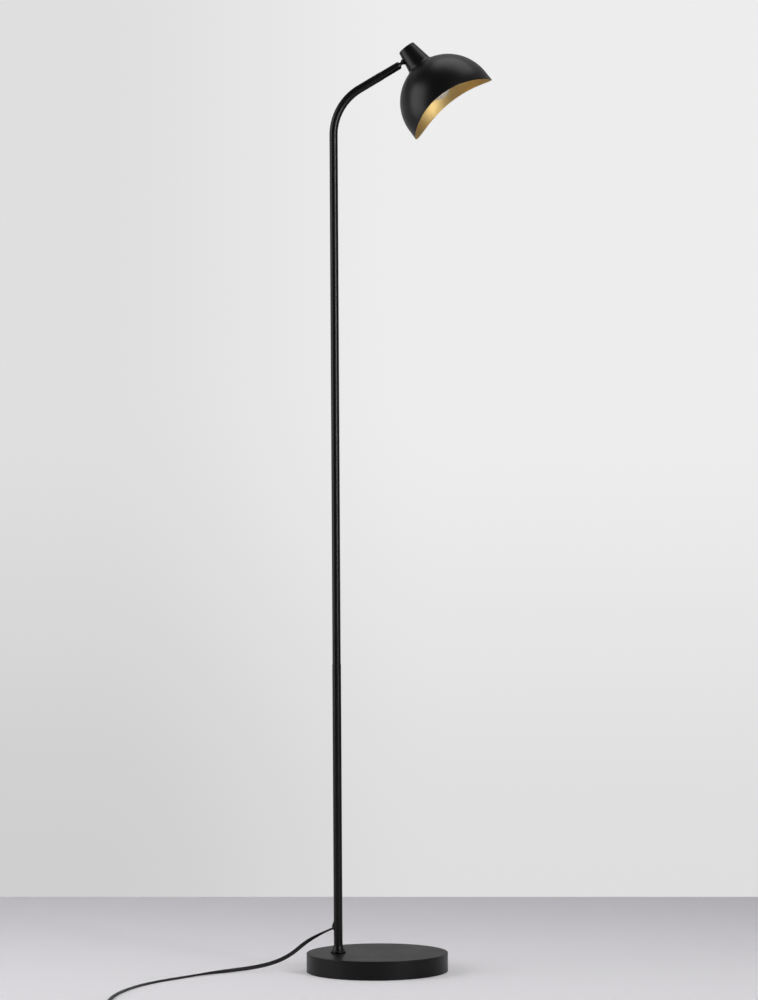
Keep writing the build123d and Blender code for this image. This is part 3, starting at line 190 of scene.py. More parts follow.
class StageSettings(bpy.types.PropertyGroup):
    camera_place: bpy.props.FloatVectorProperty(
        name="Camera",
        description="Place of the camera",
        default=(0.0070, -5.49, 0.7502),
        subtype="TRANSLATION",
    )
    camera_roll: angle("Camera roll", "Turn of the picture, anticlockwise", 0.33)
    focal_pixels: number("Focal length", "Focal length in pixels of the picture", 3447.7)
    picture_height: number("Picture height", "Height of the picture in pixels", 1000.0)
    wall_place: length("Wall place", "How far the wall stands behind the lamp", 1.0275)
    wall_turn: angle("Wall turn", "Turn of the wall that keeps its foot level in the picture", 2.87)
    floor_colour: colour("Floor", "Colour of the floor", (0.84, 0.817, 0.86))
    wall_colour: colour("Wall", "Colour of the wall as the lamp reflects it", (0.50, 0.50, 0.50))
    # Painted light on the wall: a glow that only the camera sees, dimmest at the lower left and brighter to the
    # right and to the top
    wall_dim: number("Wall dim", "Seen brightness of the wall at its lower left", 0.62)
    wall_across: number("Wall across", "Rise of the wall's seen brightness towards the right", 0.11)
    wall_upward: number("Wall upward", "Rise of the wall's seen brightness towards the top", 0.12)
    # Painted light on the floor: a glow that only the camera sees, brighter near the camera than at the wall, and
    # lifted far out past the lamps
    floor_far: number("Floor far", "Brightness added to the seen floor at the wall", 0.035)
    floor_lift: number("Floor lift", "Brightness added to the seen floor near the camera", 0.225)
    floor_outer: number("Floor outer", "Brightness added to the seen floor past the lamps", 0.42)
    key_spread: angle("Key spread", "Widest angle at which the key light shines", 104.0)
    room_light: number("Room light", "Strength of the plain light from all round", 0.05)
    room_seen: number("Room seen", "Brightness at which the camera sees the room", 0.72)


class Palette(bpy.types.PropertyGroup):
    paint: colour("Paint", "Black powder coat", (0.0032, 0.0032, 0.0033))
    gold: colour("Gold", "Metallic paint inside the shade", (0.67, 0.495, 0.21))
    plastic: colour("Plastic", "Black moulded plastic", (0.014, 0.014, 0.015))
    flex: colour("Flex", "Black sheath of the cord", (0.013, 0.013, 0.014))
    foam: colour("Foam", "Pad under the base", (0.03, 0.03, 0.031))
    nylon: colour("Nylon", "Natural nylon", (0.70, 0.68, 0.60))
    steel: colour("Steel", "Zinc-plated steel", (0.60, 0.61, 0.62))
    iron: colour("Iron", "Cast iron", (0.055, 0.055, 0.058))
    brass: colour("Brass", "Bright brass", (0.78, 0.57, 0.25))
    nickel: colour("Nickel", "Nickel plate", (0.74, 0.73, 0.71))
    phosphor: colour("Phosphor", "Yellow coat of the filaments", (0.86, 0.55, 0.10))
    glass: colour("Glass", "Clear glass", (0.97, 0.98, 0.98))
    dark_glass: colour("Dark glass", "Insulator in the bulb's cap", (0.012, 0.010, 0.014))


# Surfaces as grids of points

def unit(vector):
    """The vector, or each vector of an array, at length one."""
    return vector / np.linalg.norm(vector, axis=-1, keepdims=True)


def full_turn(columns):
    """Angles at even steps round a circle."""
    return np.arange(columns) * 2 * math.pi / columns


def turned(turn, first, second):
    """Direction at each angle from a first direction towards a second."""
    return np.cos(turn)[..., None] * first + np.sin(turn)[..., None] * second


def bow(start, middle, end, steps):
    """Points of a curve that sets out towards the middle and arrives coming from it."""
    share = np.linspace(0, 1, steps + 1)[:, None]
    return (1 - share) ** 2 * start + 2 * share * (1 - share) * middle + share**2 * end


def rounded(corners, radii, steps=6):
    """Outline through the corners, each turned by an arc of its radius.

    A point close before and after each arc keeps the parts between them flat.
    """
    corners = np.asarray(corners, dtype=float)
    points = [corners[:1]]
    for before, corner, after, radius in zip(corners, corners[1:], corners[2:], radii):
        towards = unit(before - corner)
        away = unit(after - corner)
        half = math.acos(np.clip(towards @ away, -1.0, 1.0)) / 2
        reach = radius / math.tan(half)
        centre = corner + unit(towards + away) * radius / math.sin(half)
        start = corner + towards * reach - centre
        end = corner + away * reach - centre
        sweep = math.pi - 2 * half
        share = np.linspace(0.0, 1.0, steps + 1)[:, None]
        arc = (np.sin((1 - share) * sweep) * start + np.sin(share * sweep) * end) / math.sin(sweep)
        support = 0.35 * radius
        points.append((centre + start + towards * support)[None])
        points.append(centre + arc)
        points.append((centre + end + away * support)[None])
    points.append(corners[-1:])
    return np.concatenate(points)


def arc_points(centre, radius, start, end, steps):
    """Points of an arc from one angle to another, in radians."""
    turn = np.linspace(start, end, steps + 1)
    return np.stack((centre[0] + radius * np.cos(turn), centre[1] + radius * np.sin(turn)), axis=1)


def surface(name, points, loop=False):
    """Mesh over a grid of points, with a UV that counts columns and rows from 0 to 1.

    Columns run round and close. Rows close too if loop is set.
    """
    rows, columns = points.shape[:2]
    row = np.arange(rows if loop else rows - 1)
    column = np.arange(columns)
    row, column = (part.ravel() for part in np.meshgrid(row, column, indexing="ij"))
    corner_rows = np.stack((row, row, row + 1, row + 1), axis=1)
    corner_columns = np.stack((column, column + 1, column + 1, column), axis=1)
    faces = (corner_rows % rows) * columns + corner_columns % columns
    mesh = bpy.data.meshes.new(name)
    mesh.from_pydata(points.reshape(-1, 3).tolist(), [], faces.tolist())
    layer = mesh.uv_layers.new(name="UVMap")
    places = np.stack((corner_columns / columns, corner_rows / max(row.max() + 1, 1)), axis=2)
    layer.data.foreach_set("uv", places.astype(np.float32).ravel())
    return mesh


def weld(mesh):
    """Joins the points that meet at a pole and turns the faces outward."""
    work = bmesh.new()
    work.from_mesh(mesh)
    bmesh.ops.remove_doubles(work, verts=work.verts, dist=1e-7)
    if work.calc_volume(signed=True) < 0:
        bmesh.ops.reverse_faces(work, faces=work.faces)
    work.to_mesh(mesh)
    work.free()
    mesh.shade_smooth()


def revolve(origin, axis, side, profile, columns):
    """Grid of a profile turned about an axis: each profile point is a radius and a height."""
    ring = turned(full_turn(columns), side, np.cross(axis, side))
    profile = np.asarray(profile)
    return origin + profile[:, 1, None, None] * axis + profile[:, 0, None, None] * ring


def capped(line, skin):
    """Rows of a skin round a line, closed by a point at each end."""
    start = np.repeat(line[:1, None], skin.shape[1], axis=1)
    end = np.repeat(line[-1:, None], skin.shape[1], axis=1)
    return np.concatenate((start, skin, end))


def piece(name, grid, body, materials, replaced, loop=False, marked=None):
    """Puts the surface over a grid into the scene on a body, in place of its CAD nodes.

    Its materials are given by name. Marked faces take the second one.
    """
    mesh = surface(name, grid, loop)
    if marked is not None:
        mesh.polygons.foreach_set("material_index", marked.astype(np.int32))
    weld(mesh)
    for material in materials:
        mesh.materials.append(bpy.data.materials[material])
    thing = bpy.data.objects.new(name, mesh)
    bpy.context.scene.collection.objects.link(thing)
    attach(thing, body)
    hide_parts(*replaced)
    return thing


# Places read from the frame

across = np.array([1.0, 0.0, 0.0])
depth = np.array([0.0, 1.0, 0.0])
up = np.array([0.0, 0.0, 1.0])
joints = {joint["name"]: joint for joint in frame["joints"]}
ball_centre = np.array(joints["head_swivel"]["pos_m"])
arm_dir = unit(np.array(joints["head_swivel"]["axis"]))


def node_box(name):
    """Lowest and highest corner of a CAD node as arrays."""
    low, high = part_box(name)
    return np.array(low), np.array(high)


def head_frame(sizes):
    """Top of the dome, and the directions along the stem, up the shade and across both."""
    stem = math.cos(sizes.pitch) * across + math.sin(sizes.pitch) * up
    plain_up = math.cos(sizes.pitch) * up - math.sin(sizes.pitch) * across
    head_up = plain_up * math.cos(sizes.roll) - depth * math.sin(sizes.roll)
    dome_top = ball_centre + stem * sizes.stem_reach - head_up * sizes.stem_level
    return SimpleNamespace(top=dome_top, stem=stem, up=head_up, side=np.cross(head_up, stem))


def sphere_level(radius, sphere, sizes):
    """Level of a sphere about the dome's centre at a distance from the shade's axis."""
    return np.sqrt(sphere**2 - radius**2) - sizes.dome_radius


def cup_radius(level, sizes):
    """Outside radius of the cup's cone at a level."""
    bottom = sphere_level(sizes.cup_base_radius, sizes.dome_radius, sizes)
    return sizes.cup_base_radius - (level - bottom) * math.tan(sizes.cup_taper)


# Shader nodes

def connect(tree, entry, value):
    """Gives an input of a shader node a value or another node's output."""
    if isinstance(value, bpy.types.NodeSocket):
        tree.links.new(value, entry)
    else:
        entry.default_value = value


def fill(tree, node, **inputs):
    """Fills inputs of a shader node by name, with an underline for each space."""
    for name, value in inputs.items():
        connect(tree, node.inputs[name.replace("_", " ")], value)


def add(tree, kind, output, *entries, settings=None, **inputs):
    """Adds a shader node and gives back one of its outputs. Entries fill its first inputs."""
    node = tree.nodes.new("ShaderNode" + kind)
    for name, value in (settings or {}).items():
        setattr(node, name, value)
    for entry, value in zip(node.inputs, entries):
        connect(tree, entry, value)
    fill(tree, node, **inputs)
    return node.outputs[output]


def grain_group():
    """Fine random grain: a height for bump, and a slow tone from 0 to 1."""
    tree = bpy.data.node_groups.new("fine_grain", "ShaderNodeTree")
    for name, way in (("Scale", "INPUT"), ("Height", "OUTPUT"), ("Tone", "OUTPUT")):
        tree.interface.new_socket(name, in_out=way, socket_type="NodeSocketFloat")
    scale = tree.nodes.new("NodeGroupInput").outputs["Scale"]
    place = add(tree, "TexCoord", "Object")
    fine = add(tree, "TexNoise", "Fac", Vector=place, Scale=scale, Detail=3.0)
    slow = add(tree, "TexNoise", "Fac", Vector=place, Scale=22.0, Detail=4.0)
    fill(tree, tree.nodes.new("NodeGroupOutput"), Height=fine, Tone=slow)


def new_material(name):
    """A material with its node tree and its shader."""
    material = bpy.data.materials.new(name)
    material.use_nodes = True
    return material, material.node_tree, material.node_tree.nodes["Principled BSDF"]


def grain(tree, scale):
    """Tone and height of the fine grain at a scale."""
    group = {"node_tree": bpy.data.node_groups["fine_grain"]}
    tone = add(tree, "Group", "Tone", settings=group, Scale=scale)
    return tone, tone.node.outputs["Height"]


def tones(tree, share, tint, darkest, lightest):
    """Colour that runs from a darker to a lighter tone of a tint."""
    dark = [part * darkest for part in tint]
    light = [part * lightest for part in tint]
    kind = {"data_type": "RGBA"}
    return add(tree, "Mix", "Result", settings=kind, Factor=share, A=(*dark, 1.0), B=(*light, 1.0))


def spread_over(tree, share, low, high):
    """Value that runs from low to high."""
    return add(tree, "MapRange", "Result", Value=share, To_Min=low, To_Max=high)


def grained(name, tint, roughness, scale, bump, metallic=0.0, gloss=0.5):
    """Coat, plastic or plain metal with fine grain that lifts the normal.

    Colour and roughness drift slowly.
    """
    material, tree, shader = new_material(name)
    tone, height = grain(tree, scale)
    fill(
        tree,
        shader,
        Base_Color=tones(tree, tone, tint, darkest=0.82, lightest=1.18),
        Roughness=spread_over(tree, tone, roughness - 0.05, roughness + 0.05),
        Normal=add(tree, "Bump", "Normal", Height=height, Strength=0.35, Distance=bump),
        Metallic=metallic,
        Specular_IOR_Level=gloss,
    )
    return material


def gold_material(tint):
    """Metallic paint, wiped along the shade.

    Streaks on the piece's own UV vary colour, roughness and normal.
    """
    tree, shader = new_material("gold_paint")[1:]
    place = add(tree, "TexCoord", "UV")
    stretched = add(tree, "Mapping", "Vector", Vector=place, Scale=(190.0, 7.0, 1.0))
    streaks = add(tree, "TexNoise", "Fac", Vector=stretched, Scale=1.0, Detail=4.0)
    fill(
        tree,
        shader,
        Base_Color=tones(tree, streaks, tint, darkest=0.78, lightest=1.16),
        Roughness=spread_over(tree, streaks, 0.42, 0.66),
        Normal=add(tree, "Bump", "Normal", Height=streaks, Strength=0.5, Distance=0.0004),
        Metallic=1.0,
    )


def glass_material(tint):
    """Clear blown glass with slight waves in its surface."""
    material, tree, shader = new_material("clear_glass")
    place = add(tree, "TexCoord", "Object")
    waves = add(tree, "TexNoise", "Fac", Vector=place, Scale=90.0)
    fill(
        tree,
        shader,
        Base_Color=(*tint, 1.0),
        Normal=add(tree, "Bump", "Normal", Height=waves, Strength=0.05, Distance=0.0002),
        Transmission_Weight=1.0,
        Roughness=0.02,
        IOR=1.47,
    )
    return material


def plain_material(name, tint):
    """Matte stage surface with a barely seen drift of tone."""
    material, tree, shader = new_material(name)
    tone = grain(tree, 40.0)[0]
    colour_drift = tones(tree, tone, tint, darkest=0.99, lightest=1.01)
    fill(tree, shader, Base_Color=colour_drift, Roughness=0.9, Specular_IOR_Level=0.1)
    return material


class LAMP_OT_materials(bpy.types.Operator):
    """Makes the materials and gives each shown CAD node the one for its slot"""

    bl_idname = "lamp.materials"
    bl_label = "Materials"

    def execute(self, context):
        tints = context.scene.lamp_palette
        grain_group()
        by_slot = {
            "black_paint": grained("powder_coat", tints.paint, 0.34, 2600.0, 0.00004, gloss=0.32),
            "black_plastic": grained("moulded_plastic", tints.plastic, 0.45, 1500.0, 0.00004),
            "cord_pvc": grained("flex_sheath", tints.flex, 0.40, 700.0, 0.00003),
            "pad_foam": grained("foam_pad", tints.foam, 0.85, 900.0, 0.0003),
            "nylon": grained("nylon", tints.nylon, 0.40, 900.0, 0.00002),
            "zinc_steel": grained("zinc_steel", tints.steel, 0.30, 1200.0, 0.00002, metallic=1.0),
            "iron": grained("cast_iron", tints.iron, 0.70, 500.0, 0.0004),
            "brass": grained("brass", tints.brass, 0.25, 1200.0, 0.00001, metallic=1.0),
            "plated_pin": grained("nickel_plate", tints.nickel, 0.18, 1500.0, 0.000005, metallic=1.0),
            "filament": grained("phosphor", tints.phosphor, 0.60, 2500.0, 0.00005),
            "black_glass": grained("dark_glass", tints.dark_glass, 0.10, 300.0, 0.00001),
            "clear_glass": glass_material(tints.glass),
        }
        gold_material(tints.gold)
        for subpart in frame["record"]["subparts"]:
            mesh = frame["nodes"][subpart["node"]].data
            mesh.materials.clear()
            mesh.materials.append(by_slot[subpart["material_slot"]])
        return {"FINISHED"}


# Cord

floor_gap = 0.0001
switch_level = 0.0040
plug_level = 0.0070


def spline_points(name, points):
    """Points along a NURBS spline that has the given points as its control points."""
    curve = bpy.data.curves.new(name, "CURVE")
    curve.dimensions = "3D"
    spline = curve.splines.new("NURBS")
    spline.points.add(len(points) - 1)
    spline.points.foreach_set("co", np.column_stack((points, np.ones(len(points)))).ravel())
    spline.order_u = 3
    spline.use_endpoint_u = True
    spline.resolution_u = 10
    thing = bpy.data.objects.new(name, curve)
    line = bpy.data.meshes.new_from_object(thing)
    read = np.empty(3 * len(line.vertices))
    line.vertices.foreach_get("co", read)
    bpy.data.meshes.remove(line)
    bpy.data.objects.remove(thing)
    bpy.data.curves.remove(curve)
    return read.reshape(-1, 3)


def flex_profile(sizes, columns=28):
    """Width and thickness round the flat flex: two round edges and a slight hollow between."""
    turn = full_turn(columns)
    core = sizes.thickness / 2
    wide = np.sign(np.cos(turn)) * (sizes.width / 2 - core) + core * np.cos(turn)
    groove_width = 0.15 * sizes.width
    hollow = sizes.groove * np.exp(-((wide / groove_width) ** 2))
    thick = np.sin(turn) * (core - hollow)
    return wide, thick


def flex_grid(line, lean, sizes):
    """Flex section carried along a line.

    Lean turns the section from standing on edge, 0, to lying flat, a quarter turn.
    """
    along = unit(np.gradient(line, axis=0))
    upright = unit(up - (along @ up)[:, None] * along)
    level = np.cross(upright, along)
    wide_dir = turned(lean, upright, level)
    thick_dir = np.cross(along, wide_dir)
    wide, thick = flex_profile(sizes)
    ring = wide[:, None] * wide_dir[:, None] + thick[:, None] * thick_dir[:, None]
    return capped(line, line[:, None] + ring)


def smooth(share):
    """Change from 0 to 1 that starts and ends gently."""
    share = np.clip(share, 0.0, 1.0)
    return 3 * share**2 - 2 * share**3


def distance_along(line):
    """Length from the start of a line to each of its points."""
    steps = np.linalg.norm(np.diff(line, axis=0), axis=1)
    return np.concatenate(([0.0], np.cumsum(steps)))


def lay_flex(name, node, route, lean):
    """Draws a flex along a route and says how it lies. Lean is a function of the distance along it."""
    sizes = bpy.context.scene.lamp_cord
    line = spline_points(name, route)
    place = distance_along(line)
    grid = flex_grid(line, lean(place), sizes)
    flex = piece(name, grid, "stand", ["flex_sheath"], [node])


class LAMP_OT_supply_cord(bpy.types.Operator):
    """Lays the flat flex from the grommet to the foot switch"""

    bl_idname = "lamp.supply_cord"
    bl_label = "Supply cord"

    def lean(self, place):
        """Turn of the flex, which leaves the pole flat, hangs on edge and lies flat on the floor."""
        sizes = bpy.context.scene.lamp_cord
        raised = smooth(place / sizes.exit_turn)
        laid = smooth((place - sizes.edge_stretch) / sizes.turn_stretch)
        return (1 - raised * (1 - laid)) * math.pi / 2

    def execute(self, context):
        sizes = context.scene.lamp_cord
        flat = sizes.thickness / 2 + floor_gap
        route = np.array([
            (-0.0675, 0.0, 0.0698),
            (-0.0857, 0.0, 0.0625),
            (-0.112, -0.001, 0.0485),
            (-0.136, -0.001, 0.0281),
            (-0.161, 0.0, 0.0153),
            (-0.194, 0.001, 0.0071),
            (-0.230, -0.004, flat + 0.0016),
            (-0.268, -0.031, flat + 0.0010),
            (-0.308, -0.073, flat),
            (-0.345, -0.118, flat),
            (-0.374, -0.172, flat),
            (-0.393, -0.234, flat),
            (-0.402, -0.296, flat),
            (-0.401, -0.352, flat),
            (-0.387, -0.404, flat),
            (-0.358, -0.450, flat),
            (-0.318, -0.484, flat),
            (-0.280, -0.500, switch_level),
            (-0.257, -0.500, switch_level),
        ])
        lay_flex("supply_flex", "supply_cord", route, self.lean)
        return {"FINISHED"}


class LAMP_OT_spare_cord(bpy.types.Operator):
    """Lays the flat flex from the foot switch through its tied coil to the plug"""

    bl_idname = "lamp.spare_cord"
    bl_label = "Spare cord"

    def coil(self, sizes, start):
        """Control points of the coil: half turns inwards, up one layer and outwards again."""
        count = sizes.coil_half_turns
        inward = sizes.coil_radius - sizes.coil_step * np.arange(count + 1)
        outward = inward[-1] + sizes.coil_step * np.arange(1, count + 2)
        radii = np.concatenate((inward, outward))
        low = start[2]
        high = low + sizes.coil_rise
        steps = sizes.points_per_half_turn
        turn = (np.arange(steps) + 0.5) * math.pi / steps - math.pi / 2
        reach = 1 / math.cos(math.pi / steps / 2)
        points = []
        entry = start[1]
        for index, radius in enumerate(radii):
            side = 1 if index % 2 == 0 else -1
            centre = entry + side * radius
            climb = np.clip(index - count, 0, 1) + (index == count) * (turn / math.pi + 0.5)
            ring = np.stack((
                start[0] + side * reach * radius * np.cos(turn),
                centre + side * reach * radius * np.sin(turn),
                low + (high - low) * climb,
            ), axis=1)
            points.append(ring)
            entry = centre + side * radius
        return np.concatenate(points)

    def execute(self, context):
        sizes = context.scene.lamp_cord
        start = np.array((-0.150, -0.500, sizes.coil_level))
        top = sizes.coil_level + sizes.coil_rise
        way_in = np.array([
            (-0.195, -0.500, switch_level),
            (-0.180, -0.500, switch_level),
            (-0.162, -0.500, sizes.coil_level),
        ])
        way_out = np.array([
            (-0.140, -0.500, top - 0.0002),
            (-0.128, -0.500, 0.0089),
            (-0.116, -0.500, 0.0072),
            (-0.106, -0.500, plug_level),
            (-0.098, -0.500, plug_level),
        ])
        route = np.concatenate((way_in, self.coil(sizes, start), way_out))
        lay_flex("spare_flex", "cord_coil", route, np.zeros_like)
        return {"FINISHED"}


class LAMP_OT_spring(bpy.types.Operator):
    """Winds the return spring under the foot switch's button"""

    bl_idname = "lamp.spring"
    bl_label = "Return spring"

    def execute(self, context):
        sizes = context.scene.lamp_cord
        wire = sizes.spring_wire
        low, high = node_box("switch_spring")
        height = high[2] - low[2]
        foot = (low + high) / 2 - up * height / 2
        radius = (high[1] - low[1]) / 2 - wire
        steps_per_turn = 48
        steps = steps_per_turn * sizes.spring_turns + 1
        turn = np.linspace(0, 2 * math.pi * sizes.spring_turns, steps)
        outward = turned(turn, across, depth)
        rise = np.linspace(wire, height - wire, steps)
        line = foot + radius * outward + rise[:, None] * up
        over = np.cross(unit(np.gradient(line, axis=0)), outward)
        wire_sides = 12
        ring = turned(full_turn(wire_sides), outward[:, None], over[:, None])
        grid = capped(line, line[:, None] + wire * ring)
        spring = piece("return_spring", grid, "stand", ["zinc_steel"], ["switch_spring"])
        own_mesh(spring)
        return {"FINISHED"}


# Stand

back_edge = 0.0002
bevel_edge = 0.0006
mouth_edge = 0.00012
lip_edge = 0.0001


class LAMP_OT_base(bpy.types.Operator):
    """Turns the base cover and the collar at the foot of the pole"""

    bl_idname = "lamp.base"
    bl_label = "Base and collar"

    def execute(self, context):
        sizes = context.scene.lamp_stand
        low, high = node_box("base_cover")
        centre = (low + high) / 2 * (1, 1, 0)
        radius = (high[0] - low[0]) / 2
        ceiling = high[2] - sizes.cover_wall
        inside = radius - sizes.cover_wall
        fine = sizes.skirt_edge / 2
        corners = [
            (0, ceiling),
            (inside, ceiling),
            (inside, low[2]),
            (radius, low[2]),
            (radius, high[2]),
            (0, high[2]),
        ]
        outline = rounded(corners, [fine, fine, sizes.skirt_edge, sizes.base_edge])
        grid = revolve(centre, up, across, outline, columns=256)
        piece("base_shell", grid, "stand", ["powder_coat"], ["base_cover"])

        low, high = node_box("base_collar")
        pole_low, pole_high = node_box("lower_pole")
        centre = np.array(((pole_low[0] + pole_high[0]) / 2, 0, 0))
        radius = (high[0] - low[0]) / 2
        bore = (pole_high[1] - pole_low[1]) / 2 + sizes.collar_gap
        bead = sizes.collar_bead
        quarter = math.pi / 2
        bead_arc = arc_points((radius - bead, low[2] + bead), bead, -quarter, quarter, 12)
        foot = bead_arc[-1]
        rim = np.array((bore + sizes.collar_top_wall, high[2]))
        middle = (foot + rim) / 2 - 2 * sizes.collar_hollow
        bell = bow(foot, middle, rim, 14)
        outline = np.concatenate(([(bore, low[2])], bead_arc, bell[1:], [(bore, high[2])]))
        grid = revolve(centre, up, across, outline, columns=96)
        piece("collar", grid, "stand", ["powder_coat"], ["base_collar"], loop=True)
        return {"FINISHED"}


class LAMP_OT_pole(bpy.types.Operator):
    """Draws the two pole tubes and the bent arm, with a bevel at each seam"""

    bl_idname = "lamp.pole"
    bl_label = "Pole and arm"

    def straight(self, name, node, sizes):
        """One straight tube from its CAD node's box."""
        low, high = node_box(node)
        centre = np.array(((low[0] + high[0]) / 2, 0, 0))
        radius = (high[1] - low[1]) / 2
        bore = radius - sizes.tube_wall
        bevel = sizes.seam_chamfer
        corners = [(bore, low[2]), (radius, low[2]), (radius, high[2]), (bore, high[2])]
        outline = rounded(corners, [bevel, bevel], 4)
        grid = revolve(centre, up, across, outline, columns=64)
        piece(name, grid, "stand", ["powder_coat"], [node], loop=True)
        return centre, radius, high[2]

    def bent(self, sizes, foot):
        """Line of the arm from the pole round the bend to the housing, and the directions along it."""
        corner = ball_centre + arm_dir * (foot[0] - ball_centre[0]) / arm_dir[0]
        bend = math.acos(arm_dir @ up)
        reach = sizes.bend_radius * math.tan(bend / 2)
        bend_start = corner - up * reach
        bend_centre = bend_start + across * sizes.bend_radius
        end = ball_centre - arm_dir * sizes.housing_back
        turn = np.linspace(0, bend, 41)
        arc = bend_centre + sizes.bend_radius * turned(turn, -across, up)
        heading = turned(turn, up, across)
        line = np.concatenate((foot[None], arc, end[None]))
        along = np.concatenate((up[None], heading, arm_dir[None]))
        return line, along

    def execute(self, context):
        sizes = context.scene.lamp_stand
        self.straight("lower_tube", "lower_pole", sizes)
        centre, radius, seam = self.straight("middle_tube", "middle_pole", sizes)
        bevel = sizes.seam_chamfer
        line, along = self.bent(sizes, centre + up * seam)
        bore = radius - sizes.tube_wall
        lift = np.array((0, 0, bevel, 3 * bevel))
        closing = np.array((bore, radius - bevel, radius, radius))
        ends = len(lift)
        repeats = np.ones(len(line), dtype=int)
        repeats[[0, -1]] = ends
        line = np.repeat(line, repeats, axis=0)
        line[:ends] += lift[:, None] * up
        line[-ends:] -= lift[::-1, None] * arm_dir
        along = np.repeat(along, repeats, axis=0)
        width = np.full(len(line), radius)
        width[:ends] = closing
        width[-ends:] = closing[::-1]
        columns = 64
        ring = turned(full_turn(columns), np.cross(depth, along)[:, None], depth)
        skin = line[:, None] + width[:, None, None] * ring
        inside = line[ends:-ends, None] + bore * ring[ends:-ends]
        grid = np.concatenate((skin, inside[::-1]))
        piece("arm_tube", grid, "stand", ["powder_coat"], ["bent_arm"], loop=True)
        return {"FINISHED"}


class LAMP_OT_joint(bpy.types.Operator):
    """Turns the ball housing and the ball stem, whose shoulder meets the cone of the cup"""

    bl_idname = "lamp.joint"
    bl_label = "Ball joint"

    def about_stem(self, head, profile):
        """Grid of a profile turned about the stem, with heights from the ball's centre."""
        place = head_frame(head)
        return revolve(ball_centre, place.stem, place.side, profile, columns=64)

    def on_cup(self, head, radius):
        """Ring of a radius about the stem, each point of it on the cone of the cup."""
        place = head_frame(head)
        ring = self.about_stem(head, [(radius, 0)])
        aside = (ring - ball_centre) @ place.side
        level = head.stem_level + (ring - ball_centre) @ place.up
        reach = head.stem_reach - np.sqrt(cup_radius(level, head) ** 2 - aside**2)
        return ring + reach[..., None] * place.stem

    def execute(self, context):
        stand = context.scene.lamp_stand
        head = context.scene.lamp_head
        lip_turn = math.asin(stand.lip_place / stand.socket_radius)
        lip = arc_points((0, 0), stand.socket_radius, lip_turn, 0, 8)
        corners = [
            (stand.socket_radius, -stand.housing_back),
            (stand.housing_radius, -stand.housing_back),
            (stand.housing_radius, stand.housing_mouth - stand.mouth_chamfer),
            (stand.mouth_radius + stand.mouth_wall, stand.housing_mouth),
            (stand.mouth_radius, stand.housing_mouth),
            lip[0],
            lip[2],
        ]
        edges = [back_edge, bevel_edge, mouth_edge, lip_edge, lip_edge]
        outline = np.concatenate((rounded(corners, edges, 3), lip[3:]))
        grid = revolve(ball_centre, arm_dir, depth, outline, columns=72)
        paint = ["powder_coat"]
        piece("housing_sleeve", grid, "stand", paint, ["ball_housing"], loop=True)

        ball = head.ball_radius
        back = math.acos(head.ball_flat / ball)
        front = math.asin(head.neck_radius / ball)
        blend_turn = 0.06
        blend_length = 0.0003
        sweep = np.linspace(math.pi - back, front + blend_turn, 40)
        globe = np.stack((ball * np.sin(sweep), ball * np.cos(sweep)), axis=1)
        neck = [
            (head.neck_radius, ball * math.cos(front) + blend_length),
            (head.neck_radius, head.neck_length),
        ]
        share = np.linspace(0, math.pi / 2, 10)[1:]
        flare = np.stack((
            head.neck_radius + (head.shoulder_radius - head.neck_radius) * (1 - np.cos(share)),
            head.neck_length + head.shoulder_depth * np.sin(share),
        ), axis=1)
        end = head.stem_reach - head.spigot_clear
        outer = np.concatenate(([(head.wire_bore, -head.ball_flat)], globe, neck, flare))
        grid = np.concatenate((
            self.about_stem(head, outer),
            self.on_cup(head, head.shoulder_radius),
            self.on_cup(head, head.spigot_radius),
            self.about_stem(head, [(head.spigot_radius, end), (head.wire_bore, end)]),
        ))
        piece("stem_turned", grid, "head", paint, ["ball_stem"], loop=True)
        return {"FINISHED"}


# Head

ring_edge = 0.001
ring_bore_edge = 0.0005
thread_start = 0.003
thread_end = 0.002


class LAMP_OT_cup(bpy.types.Operator):
    """Turns the tapered cup, whose flared foot rests on the dome"""

    bl_idname = "lamp.cup"
    bl_label = "Cup"

    def execute(self, context):
        sizes = context.scene.lamp_head
        head = head_frame(sizes)
        bottom = sphere_level(sizes.cup_base_radius, sizes.dome_radius, sizes)
        top = bottom + sizes.cup_height
        inside = sizes.cup_base_radius - sizes.cup_wall
        seat_radius = np.linspace(inside, sizes.flare_radius, 8)
        seat = np.stack((seat_radius, sphere_level(seat_radius, sizes.dome_radius, sizes)), axis=1)
        foot = seat[-1] + (0, sizes.flare_lip)
        flare_top = bottom + sizes.flare_height
        waist = np.array((cup_radius(flare_top, sizes), flare_top))
        knee = np.array((cup_radius(foot[1], sizes), foot[1]))
        flare = bow(foot, knee, waist, 12)
        top_radius = cup_radius(top, sizes)
        crown_start = top_radius - 2.2 * sizes.cup_edge
        crown_radius = np.linspace(crown_start, 0, 12)
        crown_level = top + sizes.cup_crown * (1 - (crown_radius / top_radius) ** 2)
        crown = np.stack((crown_radius, crown_level), axis=1)
        edge = rounded([waist, (top_radius, top), crown[0]], [sizes.cup_edge], 8)
        ceiling = top - sizes.cup_wall
        under = [(0, ceiling), (top_radius - sizes.cup_wall, ceiling)]
        outline = np.concatenate((under, seat, flare, edge[1:], crown[1:]))
        grid = revolve(head.top, head.up, head.side, outline, columns=128)
        piece("cup_turned", grid, "head", ["powder_coat"], ["socket_cup"])
        return {"FINISHED"}


